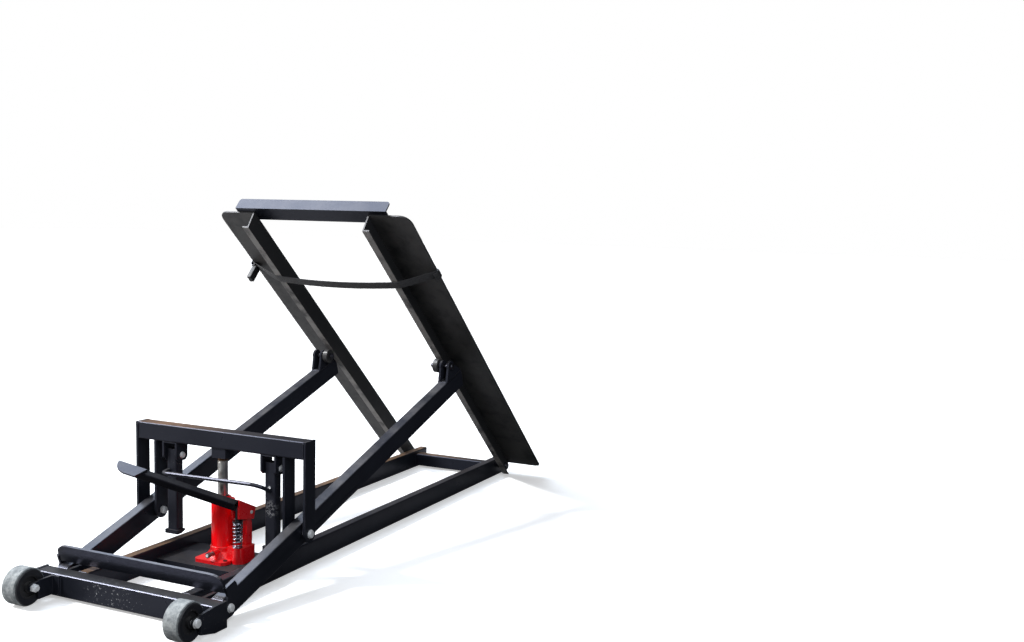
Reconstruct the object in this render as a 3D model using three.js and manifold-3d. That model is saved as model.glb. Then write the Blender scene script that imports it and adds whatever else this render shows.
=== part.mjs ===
// A foot-pumped lift that raises one end of a ride-on mower on a hinged platform.
// Lengths are millimetres. X runs along the base rails from the wheels to the platform hinge,
// Y runs to the left of someone who looks along X, and Z runs up from the ground.
// The lift is drawn raised: the jack is out, the arms are up and the platform is tilted.
import * as THREE from 'three';
import { mergeVertices } from 'three/addons/utils/BufferGeometryUtils.js';
import Module from 'manifold-3d';

const wasm = await Module();
wasm.setup();

// Driving dimensions of the whole lift.
const frameHalfWidth = 253;      // middle of the lift to the outer face of an end plate
const railLength = 1569;         // from the back of the cross tube to the hinge end
const railOuter = 159;           // middle of the lift to the outer face of a base rail
const armAngle = THREE.MathUtils.degToRad(18.38);
const platformAngle = THREE.MathUtils.degToRad(42);
const platformLength = 1217;     // hinge to the top end of the platform
const platformHalfWidth = 299;
const seatGap = 0.3;             // between pieces that touch inside a turned group
const cutOverrun = 5;            // how far a cutting tool stands past the wall that it cuts

// Box section tubes.
const crossTube = { depth: 38, height: 51, wall: 3, ground: 6 };
const railTube = { width: 26, height: 56, wall: 2.5 };
const armTube = { width: 30, height: 52, wall: 3, outer: 233, length: 1135 };
const barTube = { depth: 40, height: 42, wall: 3, under: 300 };
const rearTube = { depth: 34, height: 40, wall: 3, inset: 8 };
const tubeCorner = 4;            // outer corner radius of every tube

// Wheels and the plates that hold them.
const wheel = { radius: 42, width: 44, outer: 243, hubRadius: 26, shoulder: 5, faceDish: 3 };
const axle = { x: -58, radius: 6, headRadius: 10, headHeight: 7, nutRadius: 9.5, nutHeight: 8, tail: 5 };
const axleClearance = 0.25;
const plate = { thickness: 6, axleBoss: 10, lip: 1.5, bottom: 1.5, front: -44, frontLow: 12, frontHigh: 54 };
const innerPlate = { inner: 191, tab: 24, tabThickness: 5, bottomShare: 0.12, topShare: 0.94 };

// Pivot at the front of the arms.
const armPivot = { x: 65.6, z: 32, radius: 6, headRadius: 9, headHeight: 6, nutRadius: 10, nutHeight: 8 };
const pivotClearance = 0.3;
const ear = { thickness: 9, inner: 186, radius: 20, bottom: 9 };
const lug = { thickness: 6, height: 48.5, back: 36, radius: 20, notch: 9 };
const tie = { thickness: 6, bottom: 34, top: 76, topHalf: 198, along: 5, cornerShare: 0.55 };

// Rollers at the arm tips, under the lips of the platform beams.
const roller = { inset: 56, above: 61, radius: 20, width: 16, rim: 1.5, bore: 6.3, outer: 197 };
const rollerBolt = { radius: 6, headRadius: 10, headHeight: 7, nutRadius: 9, nutHeight: 7, tail: 4 };
const tipCheek = { thickness: 6, radius: 17, foot: 74 };

// Lift frame that the jack pushes up.
const framePivot = { along: 289, radius: 6, headRadius: 10, headHeight: 6, nutRadius: 10, nutHeight: 8 };
const leg = { width: 41, thickness: 6, outer: 250.5, innerFace: 187.5 };
const saddle = { length: 40, depth: 34, height: 23.2 };

// Safety struts that stand over the rails.
const strut = { width: 30, depth: 24, wall: 2.5, topGap: 18, foot: 71, pivotDrop: 32, pivotRadius: 5 };
const strutFoot = { flare: 4, height: 10, slope: 5 };
const strutFork = { cheek: 5, gap: 2, depth: 40, drop: 46, bridge: 2, nose: 8 };
const strutBolt = { headRadius: 8, headHeight: 5, nutRadius: 7.5, nutHeight: 6 };
const rod = { radius: 5, front: 42, height: 228.5, nearRise: 4, nearRun: 105, farRun: 136, farEnd: 154, sag: 19 };

// Platform.
const hinge = { x: 1585, z: 30, radius: 8, headRadius: 12, headHeight: 7, nutRadius: 11, nutHeight: 7 };
const beam = { sheet: 4, webOuter: 178, under: 26.8, height: 50, lip: 20, nose: 8, topBevel: 16 };
const rampCorner = { top: 34, low: 12 };
const stop = { halfLength: 235, upright: 34, flat: 44, thickness: 4, overhang: 13, cornerRadius: 9 };
const strap = { width: 25, thickness: 3, at: 1003, clear: 0.3, hook: 12 };

// Bottle jack and its foot pump.
const jackPlate = { front: 256, length: 150, thickness: 8, top: 30, turnDown: 18 };
const jack = { x: 340, baseFront: 280, baseLength: 104, baseLeft: 42, baseWidth: 90, basePlate: 8 };
const jackHub = { top: 60, radius: 31, footRadius: 41 };
const reservoir = { radius: 28, wall: 2.5, top: 172 };
const jackCylinder = { radius: 17, bore: 12.4 };
const jackCap = { radius: 19, height: 11, chamfer: 2.5 };
const ram = { radius: 12, length: 121, collarHeight: 9, groove: 1, chamfer: 1.5 };
const pump = { x: 318, y: -60, bossRadius: 13, bossTop: 68, barrelRadius: 8, barrelTop: 84, wellBottom: 60 };
const housing = { front: 312, back: 364, right: -78, left: -34, corner: 7 };
const plunger = { radius: 5.5, bottom: 70, washerRadius: 12.5, washerHeight: 2.5, washerZ: 131.5 };
const spring = { radius: 10.3, wire: 1.7, curls: 7, stepsPerCurl: 8, sides: 5, endGap: 0.5 };
const fulcrum = { x: 355, z: 148, pinRadius: 4, pinTail: 1.5, postFront: 344, postBack: 366, postRadius: 7.5 };
const post = { thickness: 12, gap: 0.5 };
const socket = { front: 310, frontTop: 187, frontLow: 140, back: 372, backTop: 157, heel: 365, heelLow: 129 };
const socketBody = { width: 24, roof: 8 };
const lever = { width: 19, height: 22, wall: 2.5, length: 300, roll: THREE.MathUtils.degToRad(20) };
const leverStart = new THREE.Vector3(298.1, -72, 176);
const leverAim = new THREE.Vector3(252, 165, 231);
const pedal = { fromEnd: 59, length: 76, depth: 36, inset: 4.5, thickness: 4, slant: 12, straight: 37, round: 20 };
const valve = { x: 282, y: -6, z: 52, radius: 5, length: 26, headRadius: 7, headLength: 8 };

const facets = { bolt: 18, arc: 9, hex: 6, wheel: 36, jack: 26, rod: 10, rodSteps: 26, corner: 5, tube: 3 };

// Places that follow from the sizes above.
const railBack = crossTube.depth + railLength;
const railMiddle = railOuter - railTube.width / 2;
const armMiddle = armTube.outer - armTube.width / 2;
const tubeTop = crossTube.ground + crossTube.height;
const wheelFront = axle.x - wheel.radius;
const frameX = armPivot.x + framePivot.along * Math.cos(armAngle);
const framePivotZ = armPivot.z + framePivot.along * Math.sin(armAngle);
const wheelMiddle = wheel.outer - wheel.width / 2;
const rollerAlong = armTube.length - roller.inset;
const strutTop = barTube.under - strut.topGap;
const strutPivotZ = barTube.under - strut.pivotDrop;
const ramTop = barTube.under - saddle.height - seatGap;
const leverDirection = leverAim.clone().sub(leverStart).normalize();
const socketSlope = (socket.frontTop - socket.backTop) / (socket.back - socket.front);
const sides = [{ name: 'left', sign: 1 }, { name: 'right', sign: -1 }];

// Finishes.
const blackPaint = new THREE.MeshStandardMaterial({ color: 0x24262b, roughness: 0.38, metalness: 0.2 });
const zinc = new THREE.MeshStandardMaterial({ color: 0xb9bcc0, roughness: 0.35, metalness: 0.9 });
const redPaint = new THREE.MeshStandardMaterial({ color: 0xc4101c, roughness: 0.25, metalness: 0.1 });
const polishedSteel = new THREE.MeshStandardMaterial({ color: 0xcfccc4, roughness: 0.22, metalness: 1 });
const springSteel = new THREE.MeshStandardMaterial({ color: 0xa9abb0, roughness: 0.35, metalness: 0.9 });
const greyRubber = new THREE.MeshStandardMaterial({ color: 0x6f6f6c, roughness: 0.85, metalness: 0 });
const darkHub = new THREE.MeshStandardMaterial({ color: 0x202124, roughness: 0.6, metalness: 0 });
const rollerNylon = new THREE.MeshStandardMaterial({ color: 0x2b2b2d, roughness: 0.5, metalness: 0 });
const webbing = new THREE.MeshStandardMaterial({ color: 0x2c2d30, roughness: 0.95, metalness: 0 });

// Solids and cuts.

function toSolid(geometry) {
  const bare = geometry.clone();
  bare.deleteAttribute('normal');
  bare.deleteAttribute('uv');
  const merged = mergeVertices(bare);
  return new wasm.Manifold(new wasm.Mesh({
    numProp: 3,
    vertProperties: new Float32Array(merged.attributes.position.array),
    triVerts: new Uint32Array(merged.index.array),
  }));
}

function toGeometry(solid) {
  const mesh = solid.getMesh();
  const geometry = new THREE.BufferGeometry();
  geometry.setAttribute('position', new THREE.BufferAttribute(new Float32Array(mesh.vertProperties), 3));
  geometry.setIndex(new THREE.BufferAttribute(new Uint32Array(mesh.triVerts), 1));
  return geometry;
}

function combine(operation, first, others) {
  let solid = toSolid(first);
  for (const other of others) solid = solid[operation](toSolid(other));
  return toGeometry(solid);
}

const cut = (geometry, ...tools) => combine('subtract', geometry, tools);
const join = (geometry, ...others) => combine('add', geometry, others);
const common = (geometry, ...others) => combine('intersect', geometry, others);

// Axes: an extrusion runs along its own Z, and these turn that direction to X or Y.
const X = new THREE.Vector3(1, 0, 0);
const Y = new THREE.Vector3(0, 1, 0);
const Z = new THREE.Vector3(0, 0, 1);
const acrossX = new THREE.Matrix4().makeBasis(Y, Z, X);
const acrossY = new THREE.Matrix4().makeBasis(X, Z, Y.clone().negate());

// A shape drawn flat becomes a slab of the given thickness, centred on its own middle plane.
function slab(shape, thickness, curveSegments = facets.corner) {
  const options = { depth: thickness, bevelEnabled: false, curveSegments };
  return new THREE.ExtrudeGeometry(shape, options).translate(0, 0, -thickness / 2);
}

const slabAcrossX = (shape, thickness, segments) => slab(shape, thickness, segments).applyMatrix4(acrossX);
const slabAcrossY = (shape, thickness, segments) => slab(shape, thickness, segments).applyMatrix4(acrossY);

function rectangle(width, height, Kind = THREE.Shape) {
  const shape = new Kind();
  shape.moveTo(-width / 2, -height / 2);
  shape.lineTo(width / 2, -height / 2);
  shape.lineTo(width / 2, height / 2);
  shape.lineTo(-width / 2, height / 2);
  shape.closePath();
  return shape;
}

// A rectangle with the rounded corners of a drawn tube.
function tubeOutline(width, height) {
  const [across, up] = [width / 2, height / 2];
  const shape = new THREE.Shape();
  shape.moveTo(-across + tubeCorner, -up);
  shape.lineTo(across - tubeCorner, -up);
  shape.quadraticCurveTo(across, -up, across, -up + tubeCorner);
  shape.lineTo(across, up - tubeCorner);
  shape.quadraticCurveTo(across, up, across - tubeCorner, up);
  shape.lineTo(-across + tubeCorner, up);
  shape.quadraticCurveTo(-across, up, -across, up - tubeCorner);
  shape.lineTo(-across, -up + tubeCorner);
  shape.quadraticCurveTo(-across, -up, -across + tubeCorner, -up);
  return shape;
}

function boxSection(width, height, wall) {
  const shape = tubeOutline(width, height);
  shape.holes.push(rectangle(width - 2 * wall, height - 2 * wall, THREE.Path));
  return shape;
}

function polygon(points) {
  return new THREE.Shape(points.map(([u, v]) => new THREE.Vector2(u, v)));
}

// A round bar along Y, and a tool that cuts a hole along Y.
function barAlongY(radius, length, segments = facets.bolt) {
  return new THREE.CylinderGeometry(radius, radius, length, segments);
}

function holeAlongY(x, y, z, radius, length) {
  return barAlongY(radius, length + 2 * cutOverrun).translate(x, y, z);
}

// A turned piece about Z, from the radius and height of each step of its profile.
function turned(steps, segments) {
  const profile = steps.map(([radius, height]) => new THREE.Vector2(radius, height));
  return new THREE.LatheGeometry(profile, segments).rotateX(Math.PI / 2);
}

// A bolt along Y. Its domed head is outboard at the head face, its nut is inboard at the nut face.
function boltAlongY(sign, headFace, nutFace, size) {
  const tail = size.tail ?? 0;
  const length = headFace - nutFace;
  const shank = barAlongY(size.radius, length + size.headHeight / 2 + size.nutHeight / 2 + tail);
  shank.translate(0, (headFace + size.headHeight / 2 + nutFace - size.nutHeight / 2 - tail) / 2, 0);
  const domeShare = 0.62;
  const dome = new THREE.LatheGeometry([
    new THREE.Vector2(0, 0),
    new THREE.Vector2(size.headRadius, 0),
    new THREE.Vector2(size.headRadius, size.headHeight * domeShare / 2),
    new THREE.Vector2(size.headRadius * domeShare, size.headHeight),
    new THREE.Vector2(0, size.headHeight),
  ], facets.bolt).translate(0, headFace, 0);
  const nut = barAlongY(size.nutRadius, size.nutHeight, facets.hex);
  nut.translate(0, nutFace - size.nutHeight / 2, 0);
  const bolt = join(shank, dome, nut);
  return sign > 0 ? bolt : bolt.rotateZ(Math.PI);
}

const lift = new THREE.Group();
const baseGroup = new THREE.Group();
const armGroup = new THREE.Group();
const frameGroup = new THREE.Group();
const platformGroup = new THREE.Group();
const leverGroup = new THREE.Group();
lift.add(baseGroup, armGroup, frameGroup, platformGroup, leverGroup);
lift.position.x = -(railBack + wheelFront) / 2;
armGroup.position.set(armPivot.x, 0, armPivot.z);
armGroup.rotation.y = -armAngle;
platformGroup.position.set(hinge.x, 0, hinge.z);
platformGroup.rotation.y = platformAngle;
leverGroup.position.copy(leverStart);
leverGroup.quaternion.setFromUnitVectors(Y, leverDirection);
leverGroup.rotateY(-lever.roll);

function add(group, name, geometry, material) {
  const mesh = new THREE.Mesh(geometry, material);
  mesh.name = name;
  group.add(mesh);
  return mesh;
}

// Base: cross tube, rails, rear tube and the plate under the jack.

function frontCrossTube() {
  const length = 2 * (frameHalfWidth - plate.thickness);
  const tube = slabAcrossY(boxSection(crossTube.depth, crossTube.height, crossTube.wall), length, facets.tube);
  return tube.translate(crossTube.depth / 2, 0, crossTube.ground + crossTube.height / 2);
}

function baseRail(sign) {
  const section = boxSection(railTube.width, railTube.height, railTube.wall);
  const tube = slabAcrossX(section, railLength, facets.tube);
  tube.translate(crossTube.depth + railLength / 2, sign * railMiddle, railTube.height / 2);
  const hole = holeAlongY(hinge.x, sign * railMiddle, hinge.z, hinge.radius + pivotClearance, railTube.width);
  return cut(tube, hole);
}

function rearCrossTube() {
  const length = 2 * (railOuter - railTube.width);
  const tube = slabAcrossY(boxSection(rearTube.depth, rearTube.height, rearTube.wall), length, facets.tube);
  const x = hinge.x - hinge.nutRadius - rearTube.depth / 2 - rearTube.inset;
  return tube.translate(x, 0, rearTube.height / 2 + crossTube.ground);
}

// The plate is a folded tray floor: its front edge turns down.
function jackTray() {
  const width = 2 * (railOuter - railTube.width);
  const profile = polygon([
    [0, -jackPlate.turnDown],
    [jackPlate.thickness / 2, -jackPlate.turnDown],
    [jackPlate.thickness / 2, -jackPlate.thickness],
    [jackPlate.length, -jackPlate.thickness],
    [jackPlate.length, 0],
    [0, 0],
  ]);
  return slabAcrossY(profile, width).translate(jackPlate.front, 0, jackPlate.top);
}

// Wheel plates, wheels and axle bolts.

// Both wheel plates end in an upright front edge, with a small round nose about the axle.
function wheelPlateNose(shape) {
  shape.lineTo(plate.front, plate.frontHigh);
  shape.lineTo(plate.front, wheel.radius + plate.axleBoss);
  shape.lineTo(axle.x, wheel.radius + plate.axleBoss);
  shape.absarc(axle.x, wheel.radius, plate.axleBoss, Math.PI / 2, Math.PI * 3 / 2, false);
  shape.lineTo(plate.front, wheel.radius - plate.axleBoss);
  shape.lineTo(plate.front, plate.frontLow);
}

// The outer plate closes the end of the cross tube.
function endPlateShape() {
  const top = tubeTop + plate.lip;
  const shape = new THREE.Shape();
  shape.moveTo(crossTube.depth, plate.bottom);
  shape.lineTo(crossTube.depth, top);
  shape.lineTo(0, top);
  wheelPlateNose(shape);
  shape.lineTo(0, plate.bottom);
  shape.closePath();
  return shape;
}

function endPlate(sign) {
  const middle = sign * (frameHalfWidth - plate.thickness / 2);
  const sheet = slabAcrossY(endPlateShape(), plate.thickness, facets.arc).translate(0, middle, 0);
  return cut(sheet, holeAlongY(axle.x, middle, wheel.radius, axle.radius + axleClearance, plate.thickness));
}

// The inner plate is folded: a tab lies on the front face of the cross tube.
function wheelBracket(sign) {
  const bottom = crossTube.ground + crossTube.height * innerPlate.bottomShare;
  const top = crossTube.ground + crossTube.height * innerPlate.topShare;
  const shape = new THREE.Shape();
  shape.moveTo(0, bottom);
  shape.lineTo(0, top);
  wheelPlateNose(shape);
  shape.closePath();
  const middle = sign * (innerPlate.inner + plate.thickness / 2);
  const sheet = slabAcrossY(shape, plate.thickness, facets.arc).translate(0, middle, 0);
  const tab = new THREE.BoxGeometry(innerPlate.tabThickness, innerPlate.tab, top - bottom);
  const tabMiddle = innerPlate.inner + plate.thickness - innerPlate.tab / 2;
  tab.translate(-innerPlate.tabThickness / 2, sign * tabMiddle, (top + bottom) / 2);
  const hole = holeAlongY(axle.x, middle, wheel.radius, axle.radius + axleClearance, plate.thickness);
  return cut(join(sheet, tab), hole);
}

function wheelTyre(sign) {
  const half = wheel.width / 2;
  const profile = [
    new THREE.Vector2(wheel.hubRadius, -half + wheel.faceDish),
    new THREE.Vector2(wheel.radius - wheel.shoulder, -half),
    new THREE.Vector2(wheel.radius, -half + wheel.shoulder),
    new THREE.Vector2(wheel.radius, half - wheel.shoulder),
    new THREE.Vector2(wheel.radius - wheel.shoulder, half),
    new THREE.Vector2(wheel.hubRadius, half - wheel.faceDish),
    new THREE.Vector2(wheel.hubRadius, -half + wheel.faceDish),
  ];
  const tyre = new THREE.LatheGeometry(profile, facets.wheel);
  return tyre.translate(axle.x, sign * wheelMiddle, wheel.radius);
}

function wheelHub(sign) {
  const bore = axle.radius + axleClearance;
  const rim = wheel.hubRadius;
  const half = wheel.width / 2;
  const rimHalf = half - wheel.faceDish;
  const bossRadius = 2 * axle.radius;
  const web = rimHalf - wheel.shoulder;
  const profile = [
    [bore, -half], [bossRadius, -half], [bossRadius, -web], [rim - wheel.faceDish, -web],
    [rim - wheel.faceDish, -rimHalf], [rim, -rimHalf], [rim, rimHalf], [rim - wheel.faceDish, rimHalf],
    [rim - wheel.faceDish, web], [bossRadius, web], [bossRadius, half], [bore, half], [bore, -half],
  ].map(([radius, height]) => new THREE.Vector2(radius, height));
  return new THREE.LatheGeometry(profile, facets.wheel).translate(axle.x, sign * wheelMiddle, wheel.radius);
}

function axleBolt(sign) {
  return boltAlongY(sign, frameHalfWidth, innerPlate.inner, axle).translate(axle.x, 0, wheel.radius);
}

// Arm pivots: an ear behind the cross tube holds each pivot bolt.
function pivotEar(sign) {
  const top = tubeTop - plate.lip;
  const shape = new THREE.Shape();
  shape.moveTo(crossTube.depth, ear.bottom);
  shape.lineTo(armPivot.x, ear.bottom);
  shape.absarc(armPivot.x, armPivot.z, armPivot.z - ear.bottom, -Math.PI / 2, 0, false);
  shape.lineTo(armPivot.x + armPivot.z - ear.bottom, armPivot.z);
  shape.lineTo(armPivot.x + ear.radius / 2, top);
  shape.lineTo(crossTube.depth, top);
  shape.closePath();
  const middle = sign * (ear.inner + ear.thickness / 2);
  const sheet = slabAcrossY(shape, ear.thickness, facets.arc).translate(0, middle, 0);
  return cut(sheet, holeAlongY(armPivot.x, middle, armPivot.z, armPivot.radius + pivotClearance, ear.thickness));
}

function armPivotBolt(sign) {
  const headFace = armTube.outer + lug.thickness + seatGap;
  return boltAlongY(sign, headFace, ear.inner, armPivot).translate(armPivot.x, 0, armPivot.z);
}

function buildBase() {
  add(baseGroup, 'front_cross_tube', frontCrossTube(), blackPaint);
  add(baseGroup, 'rear_cross_tube', rearCrossTube(), blackPaint);
  add(baseGroup, 'jack_tray', jackTray(), blackPaint);
  for (const { name, sign } of sides) {
    add(baseGroup, `base_rail_${name}`, baseRail(sign), blackPaint);
    add(baseGroup, `end_plate_${name}`, endPlate(sign), blackPaint);
    add(baseGroup, `wheel_bracket_${name}`, wheelBracket(sign), blackPaint);
    add(baseGroup, `wheel_tyre_${name}`, wheelTyre(sign), greyRubber);
    add(baseGroup, `wheel_hub_${name}`, wheelHub(sign), darkHub);
    add(baseGroup, `axle_bolt_${name}`, axleBolt(sign), zinc);
    add(baseGroup, `pivot_ear_${name}`, pivotEar(sign), blackPaint);
    add(baseGroup, `arm_pivot_bolt_${name}`, armPivotBolt(sign), zinc);
    add(baseGroup, `hinge_pin_${name}`, hingePin(sign), zinc);
  }
}

// Arms: drawn flat along X from the pivot, then tilted as one group.

// A box tube whose front end is rounded about the pivot, with a plug of solid wall there.
function armBody(sign) {
  const half = armTube.height / 2;
  const shape = new THREE.Shape();
  shape.moveTo(armTube.length, half);
  shape.lineTo(0, half);
  shape.absarc(0, 0, half, Math.PI / 2, Math.PI * 3 / 2, false);
  shape.lineTo(armTube.length, -half);
  shape.closePath();
  const side = slabAcrossY(shape, armTube.width, facets.arc);
  const span = armTube.length + half;
  const tube = slabAcrossX(tubeOutline(armTube.width, armTube.height), span, facets.tube);
  const outside = common(side, tube.translate(span / 2 - half, 0, 0));
  const hollowLength = armTube.length - lug.back + cutOverrun;
  const hollow = new THREE.BoxGeometry(
    hollowLength, armTube.width - 2 * armTube.wall, armTube.height - 2 * armTube.wall);
  hollow.translate(lug.back + hollowLength / 2, 0, 0);
  return cut(outside, hollow).translate(0, sign * armMiddle, 0);
}

// Two cheeks stand on the arm tip and carry the roller bolt above it.
function tipCheeks(sign) {
  const half = armTube.height / 2;
  const shape = new THREE.Shape();
  shape.moveTo(rollerAlong - tipCheek.foot / 2, half - armTube.wall);
  shape.lineTo(armTube.length - armTube.wall, half - armTube.wall);
  shape.lineTo(armTube.length - armTube.wall, half + armTube.wall);
  shape.lineTo(rollerAlong + tipCheek.radius, roller.above);
  shape.absarc(rollerAlong, roller.above, tipCheek.radius, 0, Math.PI, false);
  shape.closePath();
  const offset = (armTube.width - tipCheek.thickness) / 2;
  return [-offset, offset].map((place) => {
    const cheek = slabAcrossY(shape, tipCheek.thickness, facets.arc);
    return cheek.translate(0, sign * armMiddle + place, 0);
  });
}

// The lug is welded to the outer face of the arm and carries the tie plate.
function armLug(sign) {
  const tieFront = tie.along - tie.thickness / 2;
  const shape = new THREE.Shape();
  shape.absarc(0, 0, lug.radius, Math.PI, Math.PI * 2, false);
  shape.lineTo(lug.back, armTube.height / 2);
  shape.lineTo(lug.back, lug.height - lug.notch);
  shape.lineTo(lug.back - lug.notch / 2, lug.height);
  shape.lineTo(tieFront, lug.height);
  shape.lineTo(tieFront, armTube.height / 2);
  shape.closePath();
  const middle = sign * (armTube.outer + lug.thickness / 2);
  return slabAcrossY(shape, lug.thickness, facets.arc).translate(0, middle, 0);
}

function liftArm(sign) {
  const welded = join(armBody(sign), ...tipCheeks(sign), armLug(sign));
  const width = armTube.width + lug.thickness;
  const middle = sign * (armMiddle + lug.thickness / 2);
  const pivotHole = holeAlongY(0, middle, 0, armPivot.radius + pivotClearance, width);
  const frameHole = holeAlongY(framePivot.along, middle, 0, framePivot.radius + pivotClearance / 2, width);
  const tipHole = holeAlongY(rollerAlong, middle, roller.above, rollerBolt.radius + pivotClearance / 2, width);
  return cut(welded, pivotHole, frameHole, tipHole);
}

// The plate that ties the two arms together stands square on them, with its top corners rounded.
function tiePlate() {
  const endHalf = armTube.outer - seatGap;
  const cornerDrop = (tie.top - tie.bottom) * tie.cornerShare;
  const shape = new THREE.Shape();
  shape.moveTo(-endHalf, tie.bottom);
  shape.lineTo(endHalf, tie.bottom);
  shape.lineTo(endHalf, tie.top - cornerDrop);
  shape.quadraticCurveTo(endHalf, tie.top, tie.topHalf, tie.top);
  shape.lineTo(-tie.topHalf, tie.top);
  shape.quadraticCurveTo(-endHalf, tie.top, -endHalf, tie.top - cornerDrop);
  shape.closePath();
  return slabAcrossX(shape, tie.thickness).translate(tie.along, 0, 0);
}

// The roller is crowned at its rims and turns on the roller bolt.
function tipRoller(sign) {
  const half = roller.width / 2;
  const profile = [
    new THREE.Vector2(roller.bore, -half),
    new THREE.Vector2(roller.radius - roller.rim, -half),
    new THREE.Vector2(roller.radius, -half + roller.rim),
    new THREE.Vector2(roller.radius, half - roller.rim),
    new THREE.Vector2(roller.radius - roller.rim, half),
    new THREE.Vector2(roller.bore, half),
    new THREE.Vector2(roller.bore, -half),
  ];
  const wheelShape = new THREE.LatheGeometry(profile, facets.jack);
  return wheelShape.translate(rollerAlong, sign * (roller.outer - roller.width / 2), roller.above);
}

function tipBolt(sign) {
  const nutFace = roller.outer - roller.width - seatGap;
  const headFace = armTube.outer + seatGap;
  return boltAlongY(sign, headFace, nutFace, rollerBolt).translate(rollerAlong, 0, roller.above);
}

function frameBolt(sign) {
  const bolt = boltAlongY(sign, leg.outer + seatGap, leg.innerFace - seatGap, framePivot);
  return bolt.rotateY(armAngle).translate(framePivot.along, 0, 0);
}

function buildArms() {
  for (const { name, sign } of sides) {
    add(armGroup, `lift_arm_${name}`, liftArm(sign), blackPaint);
    add(armGroup, `tip_roller_${name}`, tipRoller(sign), rollerNylon);
    add(armGroup, `tip_roller_bolt_${name}`, tipBolt(sign), zinc);
    add(armGroup, `frame_pivot_bolt_${name}`, frameBolt(sign), zinc);
  }
  add(armGroup, 'arm_tie_plate', tiePlate(), blackPaint);
}

// Lift frame: a bar on four flat legs that straddle the arms.

// The bar ends between the outer legs.
function frameBar() {
  const length = 2 * (leg.outer - leg.thickness);
  const tube = slabAcrossY(boxSection(barTube.depth, barTube.height, barTube.wall), length, facets.tube);
  return tube.translate(frameX, 0, barTube.under + barTube.height / 2);
}

// An outer leg covers the end of the bar, and an inner leg ends under the bar.
function frameLeg(middle, top) {
  const half = leg.width / 2;
  const shape = new THREE.Shape();
  shape.moveTo(frameX - half, top);
  shape.lineTo(frameX - half, framePivotZ);
  shape.absarc(frameX, framePivotZ, half, Math.PI, Math.PI * 2, false);
  shape.lineTo(frameX + half, top);
  shape.closePath();
  const flat = slabAcrossY(shape, leg.thickness, facets.arc).translate(0, middle, 0);
  return cut(flat, holeAlongY(frameX, middle, framePivotZ, framePivot.radius + pivotClearance / 2, leg.thickness));
}

function jackSaddle() {
  const block = new THREE.BoxGeometry(saddle.depth, saddle.length, saddle.height);
  block.translate(frameX, 0, barTube.under - saddle.height / 2);
  return block;
}

// A fork under the bar: a bridge welded to the bar and two cheeks beside the strut.
function strutForkSolid(sign) {
  const inside = strut.width + 2 * strutFork.gap;
  const outside = inside + 2 * strutFork.cheek;
  const bridge = new THREE.BoxGeometry(strutFork.depth, outside, strutFork.bridge);
  bridge.translate(frameX, sign * railMiddle, barTube.under - strutFork.bridge / 2);
  const half = strutFork.depth / 2;
  const bottom = barTube.under - strutFork.drop;
  const shape = polygon([
    [frameX - half, barTube.under],
    [frameX - half, bottom + strutFork.nose],
    [frameX - half + strutFork.nose, bottom],
    [frameX + half - strutFork.nose, bottom],
    [frameX + half, bottom + strutFork.nose],
    [frameX + half, barTube.under],
  ]);
  const place = (inside + strutFork.cheek) / 2;
  const cheeks = [-place, place].map((offset) => (
    slabAcrossY(shape, strutFork.cheek).translate(0, sign * railMiddle + offset, 0)));
  const hole = holeAlongY(frameX, sign * railMiddle, strutPivotZ, strut.pivotRadius + seatGap / 2, outside);
  return cut(join(bridge, ...cheeks), hole);
}

// The strut bolt's head shows on the right of both forks.
function strutBoltSolid(sign) {
  const reach = strut.width / 2 + strutFork.gap + strutFork.cheek;
  const size = { radius: strut.pivotRadius, ...strutBolt };
  const bolt = boltAlongY(-1, reach, -reach, size);
  return bolt.translate(frameX, sign * railMiddle, strutPivotZ);
}

function buildFrame() {
  add(frameGroup, 'frame_bar', frameBar(), blackPaint);
  add(frameGroup, 'jack_saddle', jackSaddle(), blackPaint);
  for (const { name, sign } of sides) {
    const outerMiddle = sign * (leg.outer - leg.thickness / 2);
    const innerMiddle = sign * (leg.innerFace + leg.thickness / 2);
    const barTop = barTube.under + barTube.height;
    add(frameGroup, `frame_leg_outer_${name}`, frameLeg(outerMiddle, barTop), blackPaint);
    add(frameGroup, `frame_leg_inner_${name}`, frameLeg(innerMiddle, barTube.under), blackPaint);
    add(frameGroup, `strut_fork_${name}`, strutForkSolid(sign), blackPaint);
    add(frameGroup, `strut_bolt_${name}`, strutBoltSolid(sign), zinc);
    add(frameGroup, `safety_strut_${name}`, safetyStrut(sign), blackPaint);
  }
  add(frameGroup, 'release_rod', releaseRod(), blackPaint);
}

// Safety struts hang over the rails, and a bent rod in front joins them.

// The foot spreads forward and sideways, and its underside rises to the rear.
function safetyStrut(sign) {
  const length = strutTop - strut.foot;
  const half = strut.depth / 2;
  const tube = slab(boxSection(strut.depth, strut.width, strut.wall), length, facets.tube);
  tube.translate(0, 0, strut.foot + length / 2);
  const footWidth = strut.width + 2 * strutFoot.flare;
  const foot = new THREE.BoxGeometry(strut.depth + strutFoot.flare, footWidth, strutFoot.height);
  foot.translate(-strutFoot.flare / 2, 0, strut.foot + strutFoot.height / 2);
  const bore = new THREE.BoxGeometry(
    strut.depth - 2 * strut.wall, strut.width - 2 * strut.wall, strutFoot.height + 2 * cutOverrun);
  bore.translate(0, 0, strut.foot + strutFoot.height / 2);
  const wedge = slabAcrossY(polygon([
    [0, strut.foot],
    [0, strut.foot - cutOverrun],
    [2 * half, strut.foot - cutOverrun],
    [2 * half, strut.foot + 2 * strutFoot.slope],
  ]), footWidth + cutOverrun);
  const hole = holeAlongY(0, 0, strutPivotZ, strut.pivotRadius + seatGap / 2, strut.width);
  return cut(join(tube, foot), bore, wedge, hole).translate(frameX, sign * railMiddle, 0);
}

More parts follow.
